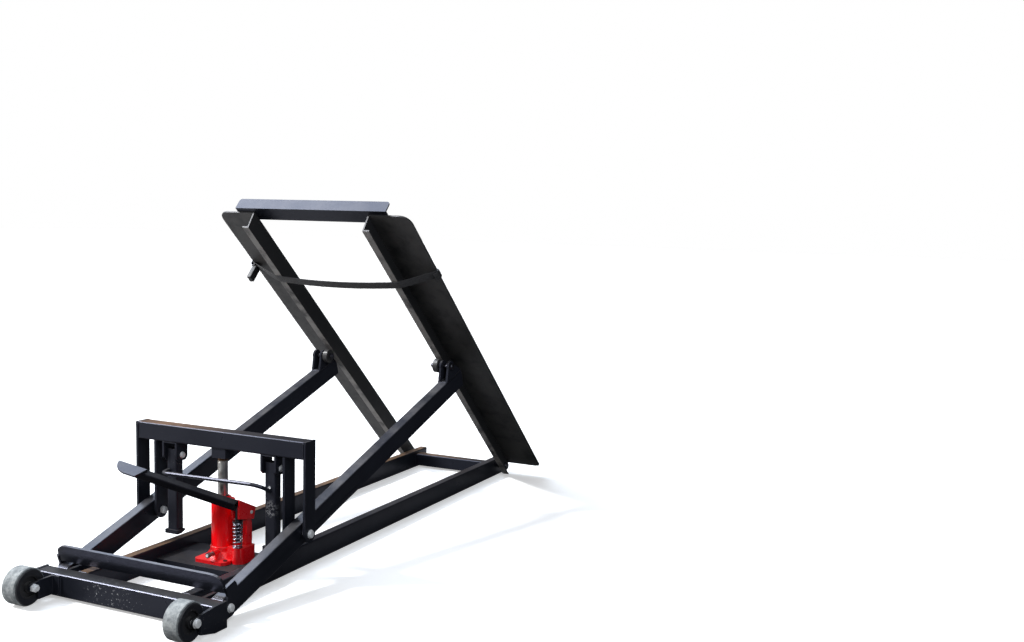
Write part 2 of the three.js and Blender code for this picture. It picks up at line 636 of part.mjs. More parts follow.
// The rod's ends turn back to the front faces of the struts, where they are welded.
function releaseRod() {
  const front = frameX - rod.front;
  const strutFace = frameX - strut.depth / 2 - seatGap;
  const high = rod.height + rod.nearRise;
  const low = high - rod.sag;
  const farEnd = new THREE.Vector3(strutFace, rod.farEnd, rod.height);
  const farBend = new THREE.Vector3(front, rod.farEnd, rod.height);
  const farRun = new THREE.Vector3(front, rod.farRun, rod.height);
  const nearRun = new THREE.Vector3(front, -rod.nearRun, high);
  const nearBend = new THREE.Vector3(front, -railMiddle, high);
  const nearEnd = new THREE.Vector3(strutFace, -railMiddle, low);
  const path = new THREE.CurvePath();
  path.add(new THREE.QuadraticBezierCurve3(farEnd, farBend, farRun));
  path.add(new THREE.LineCurve3(farRun, nearRun));
  path.add(new THREE.QuadraticBezierCurve3(nearRun, nearBend, nearEnd));
  const section = new THREE.Shape();
  section.absarc(0, 0, rod.radius, 0, Math.PI * 2, false);
  const bent = new THREE.ExtrudeGeometry(section, {
    steps: facets.rodSteps, bevelEnabled: false, extrudePath: path, curveSegments: facets.rod / 2,
  });
  const behind = new THREE.BoxGeometry(strut.depth, 2 * frameHalfWidth, rod.height);
  return cut(bent, behind.translate(strutFace + strut.depth / 2, 0, rod.height));
}

// Platform: drawn flat with the hinge at the origin and the top end at negative X.

function hingePin(sign) {
  const headFace = beam.webOuter + beam.sheet + seatGap;
  return boltAlongY(sign, headFace, railOuter - railTube.width, hinge).translate(hinge.x, 0, hinge.z);
}

// One folded sheet: a lip at the bottom, an upright web and the ramp at the top.
function beamSection(sign) {
  const inner = beam.webOuter;
  const bottom = -beam.under;
  const top = bottom + beam.height;
  return polygon([
    [inner, bottom],
    [inner + beam.lip, bottom],
    [inner + beam.lip, bottom + beam.sheet],
    [inner + beam.sheet, bottom + beam.sheet],
    [inner + beam.sheet, top - beam.sheet],
    [platformHalfWidth, top - beam.sheet],
    [platformHalfWidth, top],
    [inner, top],
  ].map(([across, up]) => [sign * across, up]));
}

// Seen from the side, the low end is rounded about the hinge and the top end is cut at a slant.
function beamSide() {
  const top = beam.height - beam.under;
  const shape = new THREE.Shape();
  shape.moveTo(-platformLength, top);
  shape.lineTo(-platformLength + beam.topBevel / 2, -beam.under);
  shape.lineTo(0, -beam.under);
  shape.absarc(0, 0, beam.under, -Math.PI / 2, -Math.PI / 6, false);
  shape.lineTo(beam.nose, top);
  shape.closePath();
  return slabAcrossY(shape, 2 * platformHalfWidth + 2 * cutOverrun, facets.arc);
}

// Seen from above, the ramp's outer corners are rounded.
function rampPlan(sign) {
  const outer = platformHalfWidth;
  const inner = beam.webOuter - cutOverrun;
  const back = beam.nose + beam.under;
  const shape = new THREE.Shape();
  shape.moveTo(-platformLength - cutOverrun, inner);
  shape.lineTo(back, inner);
  shape.lineTo(back, beam.webOuter + beam.lip);
  shape.lineTo(beam.nose, outer - rampCorner.low);
  shape.quadraticCurveTo(beam.nose, outer, beam.nose - rampCorner.low, outer);
  shape.lineTo(-platformLength + rampCorner.top, outer);
  shape.quadraticCurveTo(-platformLength, outer, -platformLength, outer - rampCorner.top);
  shape.lineTo(-platformLength - cutOverrun, inner);
  shape.closePath();
  const tool = slab(shape, 2 * beam.height + 2 * cutOverrun, facets.arc);
  return sign > 0 ? tool : tool.rotateX(Math.PI);
}

function platformBeam(sign) {
  const length = platformLength + beam.nose + beam.under;
  const section = slabAcrossX(beamSection(sign), length);
  section.translate(length / 2 - platformLength, 0, 0);
  const web = sign * (beam.webOuter + beam.sheet / 2);
  const hole = holeAlongY(0, web, 0, hinge.radius + pivotClearance, beam.sheet);
  return cut(common(section, beamSide(), rampPlan(sign)), hole);
}

// The wheel stop is an angle bar on top of the ramps at the high end.
function wheelStop() {
  const base = beam.height - beam.under + seatGap;
  const profile = polygon([
    [0, 0],
    [stop.flat, 0],
    [stop.flat, stop.thickness],
    [stop.thickness, stop.thickness],
    [stop.thickness, stop.upright],
    [0, stop.upright],
  ]);
  const bar = slabAcrossY(profile, 2 * stop.halfLength);
  const shape = new THREE.Shape();
  const half = stop.halfLength;
  const round = stop.cornerRadius;
  shape.moveTo(-half, -cutOverrun);
  shape.lineTo(half, -cutOverrun);
  shape.lineTo(half, stop.upright - round);
  shape.quadraticCurveTo(half, stop.upright, half - round, stop.upright);
  shape.lineTo(-half + round, stop.upright);
  shape.quadraticCurveTo(-half, stop.upright, -half, stop.upright - round);
  shape.closePath();
  const outline = slabAcrossX(shape, 2 * stop.flat + 2 * cutOverrun);
  return common(bar, outline).translate(-platformLength - stop.overhang, 0, base);
}

// The strap runs under both lips, and each end hooks over the outer edge of a ramp.
function strapLine(grow) {
  const lipHalf = beam.webOuter + beam.lip;
  const side = platformHalfWidth + strap.clear + grow;
  const top = beam.height - beam.under + strap.clear + grow;
  const edge = beam.height - beam.under - beam.sheet;
  const low = -beam.under - strap.clear - grow;
  const hookEnd = platformHalfWidth - strap.hook;
  return [
    [-hookEnd, top], [-side, top], [-side, edge], [-lipHalf, low],
    [lipHalf, low], [side, edge], [side, top], [hookEnd, top],
  ];
}

function strapBand() {
  const band = polygon([...strapLine(strap.thickness), ...strapLine(0).reverse()]);
  return slabAcrossX(band, strap.width).translate(-strap.at, 0, 0);
}

function buildPlatform() {
  for (const { name, sign } of sides) {
    add(platformGroup, `platform_beam_${name}`, platformBeam(sign), blackPaint);
  }
  add(platformGroup, 'wheel_stop', wheelStop(), blackPaint);
  add(platformGroup, 'strap', strapBand(), webbing);
}

// Bottle jack: the casting, the oil reservoir, the cylinder inside it, the cap and the ram.

function jackBase() {
  const plateMiddleX = jack.baseFront + jack.baseLength / 2;
  const plateMiddleY = jack.baseLeft - jack.baseWidth / 2;
  const corner = jack.basePlate;
  const halfLength = jack.baseLength / 2;
  const halfWidth = jack.baseWidth / 2;
  const outline = polygon([
    [-halfLength + corner, -halfWidth], [halfLength - corner, -halfWidth],
    [halfLength, -halfWidth + corner], [halfLength, halfWidth - corner],
    [halfLength - corner, halfWidth], [-halfLength + corner, halfWidth],
    [-halfLength, halfWidth - corner], [-halfLength, -halfWidth + corner],
  ]);
  const foot = slab(outline, jack.basePlate);
  foot.translate(plateMiddleX, plateMiddleY, jackPlate.top + jack.basePlate / 2);
  const hub = turned([
    [0, jackPlate.top + jack.basePlate / 2],
    [jackHub.footRadius, jackPlate.top + jack.basePlate / 2],
    [jackHub.footRadius, jackPlate.top + jack.basePlate],
    [jackHub.radius, jackHub.top - jack.basePlate],
    [jackHub.radius, jackHub.top],
    [0, jackHub.top],
  ], facets.jack).translate(jack.x, 0, 0);
  const bossHeight = pump.bossTop - jackPlate.top;
  const boss = new THREE.CylinderGeometry(pump.bossRadius, pump.bossRadius, bossHeight, facets.jack);
  boss.rotateX(Math.PI / 2).translate(pump.x, pump.y, pump.bossTop - bossHeight / 2);
  const webWidth = (housing.back - housing.front) / 2;
  const webHeight = jackHub.top - jackPlate.top - jack.basePlate;
  const web = new THREE.BoxGeometry(webWidth, Math.abs(housing.left) + cutOverrun, webHeight);
  web.translate(jack.x, (housing.left - cutOverrun) / 2, jackPlate.top + jack.basePlate / 2 + webHeight / 2);
  const barrelHeight = pump.barrelTop - pump.bossTop + jack.basePlate;
  const barrel = new THREE.CylinderGeometry(pump.barrelRadius, pump.barrelRadius, barrelHeight, facets.bolt);
  barrel.rotateX(Math.PI / 2).translate(pump.x, pump.y, pump.barrelTop - barrelHeight / 2);
  const wellHeight = pump.barrelTop - pump.wellBottom + cutOverrun;
  const well = new THREE.CylinderGeometry(
    plunger.radius + seatGap, plunger.radius + seatGap, wellHeight, facets.bolt);
  well.rotateX(Math.PI / 2).translate(pump.x, pump.y, pump.wellBottom + wellHeight / 2);
  const valveBoss = new THREE.CylinderGeometry(valve.headRadius, valve.headRadius, valve.length, facets.bolt);
  valveBoss.rotateZ(Math.PI / 2).translate(valve.x + valve.length, valve.y, valve.z);
  const valveHole = new THREE.CylinderGeometry(
    valve.radius + seatGap, valve.radius + seatGap, valve.length, facets.bolt);
  valveHole.rotateZ(Math.PI / 2).translate(valve.x + valve.length / 2 + seatGap, valve.y, valve.z);
  return cut(join(foot, hub, pumpHousing(), boss, web, barrel, valveBoss, linkPost()), well, valveHole);
}

// A block with rounded corners beside the reservoir holds the pump.
function pumpHousing() {
  const { front, back, right, left, corner } = housing;
  const shape = new THREE.Shape();
  shape.moveTo(front + corner, right);
  shape.lineTo(back - corner, right);
  shape.quadraticCurveTo(back, right, back, right + corner);
  shape.lineTo(back, left);
  shape.lineTo(front, left);
  shape.lineTo(front, right + corner);
  shape.quadraticCurveTo(front, right, front + corner, right);
  const height = pump.bossTop - jackPlate.top;
  return slab(shape, height, facets.tube).translate(0, 0, jackPlate.top + height / 2);
}

// The post on the housing carries the fulcrum pin of the socket.
function linkPost() {
  const shape = new THREE.Shape();
  shape.moveTo(fulcrum.postFront, pump.bossTop - jack.basePlate);
  shape.lineTo(housing.back, pump.bossTop - jack.basePlate);
  shape.lineTo(fulcrum.postBack, pump.barrelTop);
  shape.lineTo(fulcrum.x + fulcrum.postRadius, fulcrum.z);
  shape.absarc(fulcrum.x, fulcrum.z, fulcrum.postRadius, 0, Math.PI, false);
  shape.lineTo(fulcrum.postFront, pump.barrelTop);
  shape.closePath();
  const column = slabAcrossY(shape, post.thickness, facets.arc).translate(0, pump.y, 0);
  return cut(column, holeAlongY(fulcrum.x, pump.y, fulcrum.z, fulcrum.pinRadius + seatGap, post.thickness));
}

function ring(outer, inner, bottom, top, segments = facets.jack) {
  return turned([[inner, bottom], [outer, bottom], [outer, top], [inner, top], [inner, bottom]], segments);
}

function jackCapSolid() {
  const top = reservoir.top + jackCap.height;
  return turned([
    [jackCylinder.bore, reservoir.top],
    [reservoir.radius, reservoir.top],
    [reservoir.radius, reservoir.top + jackCap.chamfer],
    [jackCap.radius, reservoir.top + 2 * jackCap.chamfer],
    [jackCap.radius, top - jackCap.chamfer],
    [jackCap.radius - jackCap.chamfer, top],
    [jackCylinder.bore, top],
    [jackCylinder.bore, reservoir.top],
  ], facets.jack);
}

function jackRam() {
  const bottom = ramTop - ram.length;
  const neck = ramTop - ram.collarHeight;
  return turned([
    [0, bottom],
    [ram.radius - ram.chamfer, bottom],
    [ram.radius, bottom + ram.chamfer],
    [ram.radius, neck - 2 * ram.groove],
    [ram.radius - ram.groove, neck - ram.groove],
    [ram.radius - ram.groove, neck],
    [ram.radius, neck],
    [ram.radius, ramTop - ram.chamfer],
    [ram.radius - ram.chamfer, ramTop],
    [0, ramTop],
  ], facets.jack);
}

// The release valve is a slotted screw on the front of the casting.
function releaseValve() {
  const screw = new THREE.CylinderGeometry(valve.radius, valve.radius, valve.length, facets.bolt);
  screw.rotateZ(Math.PI / 2).translate(valve.length / 2, 0, 0);
  const head = new THREE.CylinderGeometry(valve.headRadius, valve.headRadius, valve.headLength, facets.hex);
  head.rotateZ(Math.PI / 2).translate(-valve.headLength / 2 + seatGap, 0, 0);
  const slot = new THREE.BoxGeometry(valve.headLength, 2 * valve.headRadius + cutOverrun, valve.radius / 2);
  slot.translate(-valve.headLength, 0, 0);
  return cut(join(screw, head), slot).translate(valve.x, valve.y, valve.z);
}

// Pump plunger: a rod with a washer for the spring, and a round nose under the socket's roof.
function pumpPlunger() {
  const washerTop = plunger.washerZ + plunger.washerHeight;
  const roof = socket.frontTop - socketBody.roof - socketSlope * (pump.x - socket.front);
  const noseCentre = roof - (plunger.radius + seatGap) / Math.cos(Math.atan(socketSlope));
  const nose = Array.from({ length: facets.corner + 1 }, (_, step) => {
    const angle = Math.PI / 2 * step / facets.corner;
    return [plunger.radius * Math.cos(angle), noseCentre + plunger.radius * Math.sin(angle)];
  });
  nose.at(-1)[0] = 0;
  return turned([
    [0, plunger.bottom],
    [plunger.radius, plunger.bottom],
    [plunger.radius, plunger.washerZ],
    [plunger.washerRadius, plunger.washerZ],
    [plunger.washerRadius, washerTop],
    [plunger.radius, washerTop],
    ...nose,
  ], facets.bolt).translate(pump.x, pump.y, 0);
}

// The return spring is one unbroken tube, wound from the boss to the washer.
function springPoints() {
  const bottom = pump.bossTop + spring.wire + spring.endGap;
  const top = plunger.washerZ - spring.wire - spring.endGap;
  const steps = spring.curls * spring.stepsPerCurl;
  return Array.from({ length: steps + 1 }, (_, step) => {
    const angle = 2 * Math.PI * step / spring.stepsPerCurl;
    const height = bottom + (top - bottom) * step / steps;
    return new THREE.Vector3(spring.radius * Math.cos(angle), spring.radius * Math.sin(angle), height);
  });
}

function pumpSpring() {
  const points = springPoints();
  const steps = points.length - 1;
  const rise = (points[steps].z - points[0].z) / steps;
  const vertices = [];
  const faces = [];
  for (let step = 0; step <= steps; step += 1) {
    const centre = points[step];
    const angle = 2 * Math.PI * step / spring.stepsPerCurl;
    const outward = new THREE.Vector3(Math.cos(angle), Math.sin(angle), 0);
    const run = 2 * Math.PI * spring.radius / spring.stepsPerCurl;
    const along = new THREE.Vector3(-Math.sin(angle) * run, Math.cos(angle) * run, rise).normalize();
    const up = new THREE.Vector3().crossVectors(outward, along);
    for (let side = 0; side < spring.sides; side += 1) {
      const turn = 2 * Math.PI * side / spring.sides;
      const vertex = centre.clone();
      vertex.addScaledVector(outward, spring.wire * Math.cos(turn));
      vertex.addScaledVector(up, spring.wire * Math.sin(turn));
      vertices.push(vertex.x, vertex.y, vertex.z);
    }
  }
  for (let step = 0; step < steps; step += 1) {
    for (let side = 0; side < spring.sides; side += 1) {
      const next = (side + 1) % spring.sides;
      const a = step * spring.sides + side;
      const b = step * spring.sides + next;
      const c = a + spring.sides;
      const d = b + spring.sides;
      faces.push(a, d, b, a, c, d);
    }
  }
  const last = steps * spring.sides;
  for (let side = 1; side < spring.sides - 1; side += 1) {
    faces.push(0, side, side + 1);
    faces.push(last, last + side + 1, last + side);
  }
  const geometry = new THREE.BufferGeometry();
  geometry.setAttribute('position', new THREE.Float32BufferAttribute(vertices, 3));
  geometry.setIndex(faces);
  return geometry.translate(pump.x, pump.y, 0);
}

// The least gap between neighbouring curls, measured on the centre line's points.
function springGap() {
  const points = springPoints();
  const oneCurl = spring.stepsPerCurl - 1;
  let least = Infinity;
  for (let i = 0; i < points.length; i += 1) {
    for (let j = i + oneCurl; j < points.length; j += 1) least = Math.min(least, points[i].distanceTo(points[j]));
  }
  return least - 2 * spring.wire;
}

// Socket: a casting over the plunger and the post, open below, that turns about the fulcrum pin.
function handleSocket() {
  const side = polygon([
    [socket.front, socket.frontTop],
    [socket.back, socket.backTop],
    [socket.heel, socket.heelLow],
    [socket.front, socket.frontLow],
  ]);
  const casting = slabAcrossY(side, socketBody.width).translate(0, pump.y, 0);
  const overrunDrop = socketSlope * cutOverrun;
  const slotTop = socket.frontTop - socketBody.roof;
  const inside = polygon([
    [socket.front - cutOverrun, slotTop + overrunDrop],
    [socket.back + cutOverrun, socket.backTop - socketBody.roof - overrunDrop],
    [socket.back + cutOverrun, socket.heelLow - cutOverrun],
    [socket.front - cutOverrun, socket.heelLow - cutOverrun],
  ]);
  const slot = slabAcrossY(inside, post.thickness + 2 * post.gap).translate(0, pump.y, 0);
  const hole = holeAlongY(fulcrum.x, pump.y, fulcrum.z, fulcrum.pinRadius + seatGap, socketBody.width);
  return cut(casting, slot, hole);
}

function pedalLever() {
  const section = boxSection(lever.width, lever.height, lever.wall);
  return slabAcrossY(section, lever.length, facets.tube).translate(0, lever.length / 2, 0);
}

// The pedal is a plate on the lever with two straight edges and a curved edge at its front and tip.
function pedalPlate() {
  const rear = lever.width / 2 - pedal.inset;
  const front = rear - pedal.depth;
  const shape = new THREE.Shape();
  shape.moveTo(front, pedal.slant);
  shape.lineTo(rear, 0);
  shape.lineTo(rear, pedal.length);
  shape.bezierCurveTo(
    rear - pedal.round, pedal.length,
    front, pedal.straight + pedal.round,
    front, pedal.straight);
  shape.closePath();
  const sheet = slab(shape, pedal.thickness, facets.rod);
  const seat = lever.height / 2 + pedal.thickness / 2 + seatGap;
  return sheet.translate(0, lever.length - pedal.fromEnd, seat);
}

function fulcrumPin() {
  return barAlongY(fulcrum.pinRadius, socketBody.width + 2 * fulcrum.pinTail)
    .translate(fulcrum.x, pump.y, fulcrum.z);
}

function buildJack() {
  add(baseGroup, 'jack_base', jackBase(), redPaint);
  add(baseGroup, 'jack_reservoir',
    ring(reservoir.radius, reservoir.radius - reservoir.wall, jackHub.top, reservoir.top)
      .translate(jack.x, 0, 0), redPaint);
  add(baseGroup, 'jack_cylinder',
    ring(jackCylinder.radius, jackCylinder.bore, jackHub.top, reservoir.top).translate(jack.x, 0, 0),
    polishedSteel);
  add(baseGroup, 'jack_cap', jackCapSolid().translate(jack.x, 0, 0), redPaint);
  add(baseGroup, 'jack_ram', jackRam().translate(jack.x, 0, 0), polishedSteel);
  add(baseGroup, 'release_valve', releaseValve(), zinc);
  add(baseGroup, 'pump_plunger', pumpPlunger(), zinc);
  add(baseGroup, 'pump_spring', pumpSpring(), springSteel);
  add(baseGroup, 'handle_socket', handleSocket(), redPaint);
  add(baseGroup, 'fulcrum_pin', fulcrumPin(), zinc);
  add(leverGroup, 'pedal_lever', pedalLever(), blackPaint);
  add(leverGroup, 'pedal_plate', pedalPlate(), blackPaint);
}

buildBase();
buildArms();
buildFrame();
buildPlatform();
buildJack();
console.log(`Least gap between spring curls: ${springGap().toFixed(2)} mm`);

export default lift;
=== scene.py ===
"""The look of a foot-pumped mower lift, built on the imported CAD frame.

Lengths are metres in the frame's own axes: X from the wheels to the platform hinge, Y to the left and Z up.
The CAD nodes keep their shape. This script gives them finishes and soft edges, and adds the detail
that a render needs: bolts, welds, caps, a wound spring, the strap and the jack's small parts.
"""
import logging
import math
from collections.abc import Callable, Iterator, Sequence
from contextlib import contextmanager
from dataclasses import dataclass, field
from enum import Enum
from typing import Any

import bpy
from mathutils import Matrix, Vector


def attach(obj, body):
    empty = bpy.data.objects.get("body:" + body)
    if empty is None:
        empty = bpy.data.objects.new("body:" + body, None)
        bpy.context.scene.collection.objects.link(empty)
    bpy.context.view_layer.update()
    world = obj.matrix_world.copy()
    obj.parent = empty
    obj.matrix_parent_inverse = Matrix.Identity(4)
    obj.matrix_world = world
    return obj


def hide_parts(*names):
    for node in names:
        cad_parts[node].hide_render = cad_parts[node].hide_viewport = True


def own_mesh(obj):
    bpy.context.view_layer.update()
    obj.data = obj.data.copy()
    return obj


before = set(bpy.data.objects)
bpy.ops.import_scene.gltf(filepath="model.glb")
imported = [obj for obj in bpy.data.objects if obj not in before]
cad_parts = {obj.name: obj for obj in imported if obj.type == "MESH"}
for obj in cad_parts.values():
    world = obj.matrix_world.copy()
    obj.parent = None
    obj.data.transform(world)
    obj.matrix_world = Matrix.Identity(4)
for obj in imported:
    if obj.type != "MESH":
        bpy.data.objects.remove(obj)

log = logging.getLogger("mower_lift")

Point = tuple[float, float, float]
Colour = tuple[float, float, float]
Profile = Sequence[tuple[float, float]]
Source = Any  # a node socket, or the constant that a socket is set to
WHITE: Colour = (1.0, 1.0, 1.0)
SIDES: tuple[tuple[str, int], ...] = (("left", 1), ("right", -1))

# Measured places are in millimetres, with X counted from the cross tube's front face.
# The frame's origin is the middle of the lift, 753.5 mm behind that face.
ORIGIN_X = -0.7535
WHEEL_AXLE: Point = (-58, 0, 42)
ARM_PIVOT: Point = (65.6, 0, 32)
PLATFORM_HINGE: Point = (1585, 0, 30)
LEVER_START: Point = (298.1, -72, 176)
LEVER_AIM: Point = (252, 165, 231)
ARM_ANGLE = math.radians(18.38)
PLATFORM_ANGLE = math.radians(42.0)
LEVER_ROLL = math.radians(20.0)
# The lift frame's pivots lie this far along the arms.
LEG_ALONG = 289
FRAME_X = ARM_PIVOT[0] + LEG_ALONG * math.cos(ARM_ANGLE)
FRAME_Z = ARM_PIVOT[2] + LEG_ALONG * math.sin(ARM_ANGLE)


class Body(str, Enum):
    """The bodies of the CAD frame that new pieces ride on."""

    BASE = "base"
    ARMS = "lift_arms"
    FRAME = "lift_frame"
    CATCH = "safety_catch"
    PLATFORM = "platform"
    LEVER = "pump_lever"
    VALVE = "release_valve"


class Slot(str, Enum):
    """The material slots that the new pieces are given."""

    BLACK = "black_paint"
    ZINC = "zinc"
    RED = "red_paint"
    SPRING = "spring_steel"
    WEBBING = "webbing"
    RUBBER = "grey_rubber"


def lift_point(x: float, y: float, z: float) -> Vector:
    """Turns a measured place in millimetres into the frame's metres.

    Args:
        x: Distance behind the front face of the cross tube.
        y: Distance to the left of the middle.
        z: Height above the ground.

    Returns:
        The same place in the frame.
    """
    return Vector((x / 1000 + ORIGIN_X, y / 1000, z / 1000))


def turned_frame(origin: Vector, axis: str, angle: float) -> Matrix:
    """Gives the axes of a part of the lift that stands at an angle.

    Args:
        origin: The point that the part turns about.
        axis: The frame's axis that it turns about.
        angle: The turn in radians, by the right-hand rule.

    Returns:
        The matrix from the part's own axes to the frame.
    """
    return Matrix.Translation(origin) @ Matrix.Rotation(angle, 4, axis)


def lever_frame() -> Matrix:
    """Gives the pedal lever's axes: the origin at its start and Y along it.

    Returns:
        The matrix from the lever's own axes to the frame.
    """
    start = lift_point(*LEVER_START)
    along = (lift_point(*LEVER_AIM) - start).normalized()
    turn = Vector((0, 1, 0)).rotation_difference(along).to_matrix().to_4x4()
    return Matrix.Translation(start) @ turn @ Matrix.Rotation(-LEVER_ROLL, 4, "Y")


LIFT_AXES = Matrix.Translation((ORIGIN_X, 0, 0))
ARM_AXES = turned_frame(lift_point(*ARM_PIVOT), "Y", -ARM_ANGLE)
LEVER_AXES = lever_frame()
PLATFORM_AXES = turned_frame(lift_point(*PLATFORM_HINGE), "Y", PLATFORM_ANGLE)
PLATFORM_DOWN = -(PLATFORM_AXES.to_3x3() @ Vector((0, 0, 1)))
# The painted reflection of the sunlit ground on the under side of the beams' lips starts 16.5 mm below the
# hinge plane and is full at 20.5 mm.
LIP_REFLECTION_BAND = tuple(PLATFORM_DOWN.dot(lift_point(*PLATFORM_HINGE)) + drop for drop in (0.0165, 0.0205))


# Materials


class Graph:
    """A short way to write a node tree."""

    def __init__(self, tree: bpy.types.NodeTree) -> None:
        """Takes hold of a tree.

        Args:
            tree: The tree to add nodes to.
        """
        self.tree = tree

    def feed(self, node: bpy.types.Node, key: str | int, value: Source) -> None:
        """Links an input of a node to a socket, or sets it to a constant.

        Args:
            node: The node that has the input.
            key: The input's name or number.
            value: An output socket or a constant.
        """
        target = node.inputs[key]
        if isinstance(value, bpy.types.NodeSocket):
            self.tree.links.new(value, target)
        elif isinstance(value, tuple) and target.type == "RGBA" and len(value) == 3:
            target.default_value = (*value, 1.0)
        else:
            target.default_value = value

    def node(
        self, kind: str, inputs: dict[str | int, Source] | None = None, **settings: Any
    ) -> bpy.types.Node:
        """Adds a node.

        Args:
            kind: The node's type name.
            inputs: What each input is linked or set to, by name or number.
            **settings: Properties of the node itself.

        Returns:
            The new node.
        """
        made = self.tree.nodes.new(kind)
        for key, value in settings.items():
            setattr(made, key, value)
        for key, value in (inputs or {}).items():
            self.feed(made, key, value)
        return made

    def math(
        self, operation: str, first: Source, second: Source = 0.0, clamp: bool = False
    ) -> bpy.types.NodeSocket:
        """Adds a Math node.

        Args:
            operation: The sum to do.
            first: The first value.
            second: The second value.
            clamp: Whether the result is kept between 0 and 1.

        Returns:
            The result.
        """
        made = self.node("ShaderNodeMath", {0: first, 1: second}, operation=operation, use_clamp=clamp)
        return made.outputs[0]

    def times(self, first: Source, second: Source, clamp: bool = False) -> bpy.types.NodeSocket:
        """Multiplies two values."""
        return self.math("MULTIPLY", first, second, clamp)

    def plus(self, first: Source, second: Source, clamp: bool = False) -> bpy.types.NodeSocket:
        """Adds two values."""
        return self.math("ADD", first, second, clamp)

    def measure(
        self, operation: str, first: Source, second: Source = (0.0, 0.0, 0.0)
    ) -> bpy.types.NodeSocket:
        """Gets a number from vectors, such as their dot product, their distance or a length."""
        return self.node("ShaderNodeVectorMath", {0: first, 1: second}, operation=operation).outputs["Value"]

    def axis(self, vector: Source, name: str) -> bpy.types.NodeSocket:
        """Takes X, Y or Z out of a vector."""
        return self.node("ShaderNodeSeparateXYZ", {0: vector}).outputs[name]

    def surface(self, name: str = "Object") -> bpy.types.NodeSocket:
        """Gives one kind of texture coordinates of the surface."""
        return self.node("ShaderNodeTexCoord").outputs[name]

    def mix(self, factor: Source, first: Source, second: Source) -> bpy.types.NodeSocket:
        """Blends two colours.

        Args:
            factor: How much of the second colour shows.
            first: The first colour.
            second: The second colour.

        Returns:
            The blended colour.
        """
        inputs = {0: factor, 6: first, 7: second}
        return self.node("ShaderNodeMix", inputs, data_type="RGBA", clamp_factor=True).outputs[2]

    def ramp(self, value: Source, low: float, high: float) -> bpy.types.NodeSocket:
        """Maps a value range onto 0 to 1, with soft ends.

        Args:
            value: The value to map.
            low: What becomes 0.
            high: What becomes 1.

        Returns:
            The mapped value.
        """
        inputs = {"Value": value, "From Min": low, "From Max": high}
        return self.node("ShaderNodeMapRange", inputs, interpolation_type="SMOOTHSTEP").outputs[0]

    def noise(
        self, place: Source, scale: float, detail: float = 4.0, roughness: float = 0.55
    ) -> bpy.types.NodeSocket:
        """Adds a noise texture.

        Args:
            place: The coordinates to sample at.
            scale: Features per metre.
            detail: Octaves.
            roughness: How strong the small features are.

        Returns:
            The noise value.
        """
        inputs = {"Vector": place, "Scale": scale, "Detail": detail, "Roughness": roughness}
        return self.node("ShaderNodeTexNoise", inputs).outputs[0]

    def bump(self, shader: bpy.types.Node, height: Source, strength: float, distance: float) -> None:
        """Gives a shader's surface a fine relief.

        Args:
            shader: The shader.
            height: The relief, from 0 to 1.
            strength: How much of it shows.
            distance: How high it is in metres.
        """
        inputs = {"Strength": strength, "Distance": distance, "Height": height}
        self.feed(shader, "Normal", self.node("ShaderNodeBump", inputs).outputs[0])


def shader_group(
    name: str,
    inputs: Sequence[tuple[str, str, Any]],
    outputs: Sequence[tuple[str, str]],
    build: Callable[[Graph, bpy.types.Node, bpy.types.Node], None],
) -> bpy.types.NodeTree:
    """Makes a shader node group with named sockets.

    Args:
        name: The group's name.
        inputs: Name, socket type and default of each input.
        outputs: Name and socket type of each output.
        build: Fills the group, given its graph, input node and output node.

    Returns:
        The group's tree.
    """
    tree = bpy.data.node_groups.new(name, "ShaderNodeTree")
    for title, kind, default in inputs:
        socket = tree.interface.new_socket(title, in_out="INPUT", socket_type=kind)
        socket.default_value = default
    for title, kind in outputs:
        tree.interface.new_socket(title, in_out="OUTPUT", socket_type=kind)
    graph = Graph(tree)
    build(graph, graph.node("NodeGroupInput"), graph.node("NodeGroupOutput"))
    return tree


def build_edge_wear(graph: Graph, given: bpy.types.Node, result: bpy.types.Node) -> None:
    """Marks sharp edges, broken up by noise.

    Args:
        graph: The group's graph.
        given: The group's input node.
        result: The group's output node.
    """
    soft = graph.node("ShaderNodeBevel", {"Radius": given.outputs["Radius"]}, samples=4).outputs[0]
    flat = graph.node("ShaderNodeNewGeometry").outputs["Normal"]
    edge = graph.ramp(graph.math("SUBTRACT", 1.0, graph.measure("DOT_PRODUCT", soft, flat)), 0.02, 0.3)
    patches = graph.ramp(graph.noise(graph.surface(), 38.0, 5.0), 0.42, 0.66)
    mask = graph.times(graph.times(edge, patches), given.outputs["Amount"], clamp=True)
    graph.feed(result, "Mask", mask)


def build_dust(graph: Graph, given: bpy.types.Node, result: bpy.types.Node) -> None:
    """Lays dust on faces that look up, and specks on all faces.

    Args:
        graph: The group's graph.
        given: The group's input node.
        result: The group's output node.
    """
    place = graph.surface()
    facing = graph.ramp(graph.axis(graph.surface("Normal"), "Z"), 0.35, 0.95)
    cloud = graph.ramp(graph.noise(place, 9.0, 6.0, 0.65), 0.3, 0.75)
    film = graph.times(graph.times(facing, cloud), given.outputs["Film"])
    where = graph.ramp(graph.noise(place, 5.0, 3.0), 0.5, 0.72)
    specks = graph.times(graph.ramp(graph.noise(place, 240.0, 2.0, 0.5), 0.69, 0.74), where)
    total = graph.plus(film, graph.times(specks, given.outputs["Specks"]), clamp=True)
    graph.feed(result, "Mask", total)


def build_scratches(graph: Graph, given: bpy.types.Node, result: bpy.types.Node) -> None:
    """Draws fine long scratches along the piece.

    Args:
        graph: The group's graph.
        given: The group's input node.
        result: The group's output node.
    """
    inputs = {"Vector": graph.surface(), "Scale": given.outputs["Stretch"]}
    stretched = graph.node("ShaderNodeMapping", inputs).outputs[0]
    graph.feed(result, "Height", graph.noise(stretched, 60.0, 3.0, 0.7))


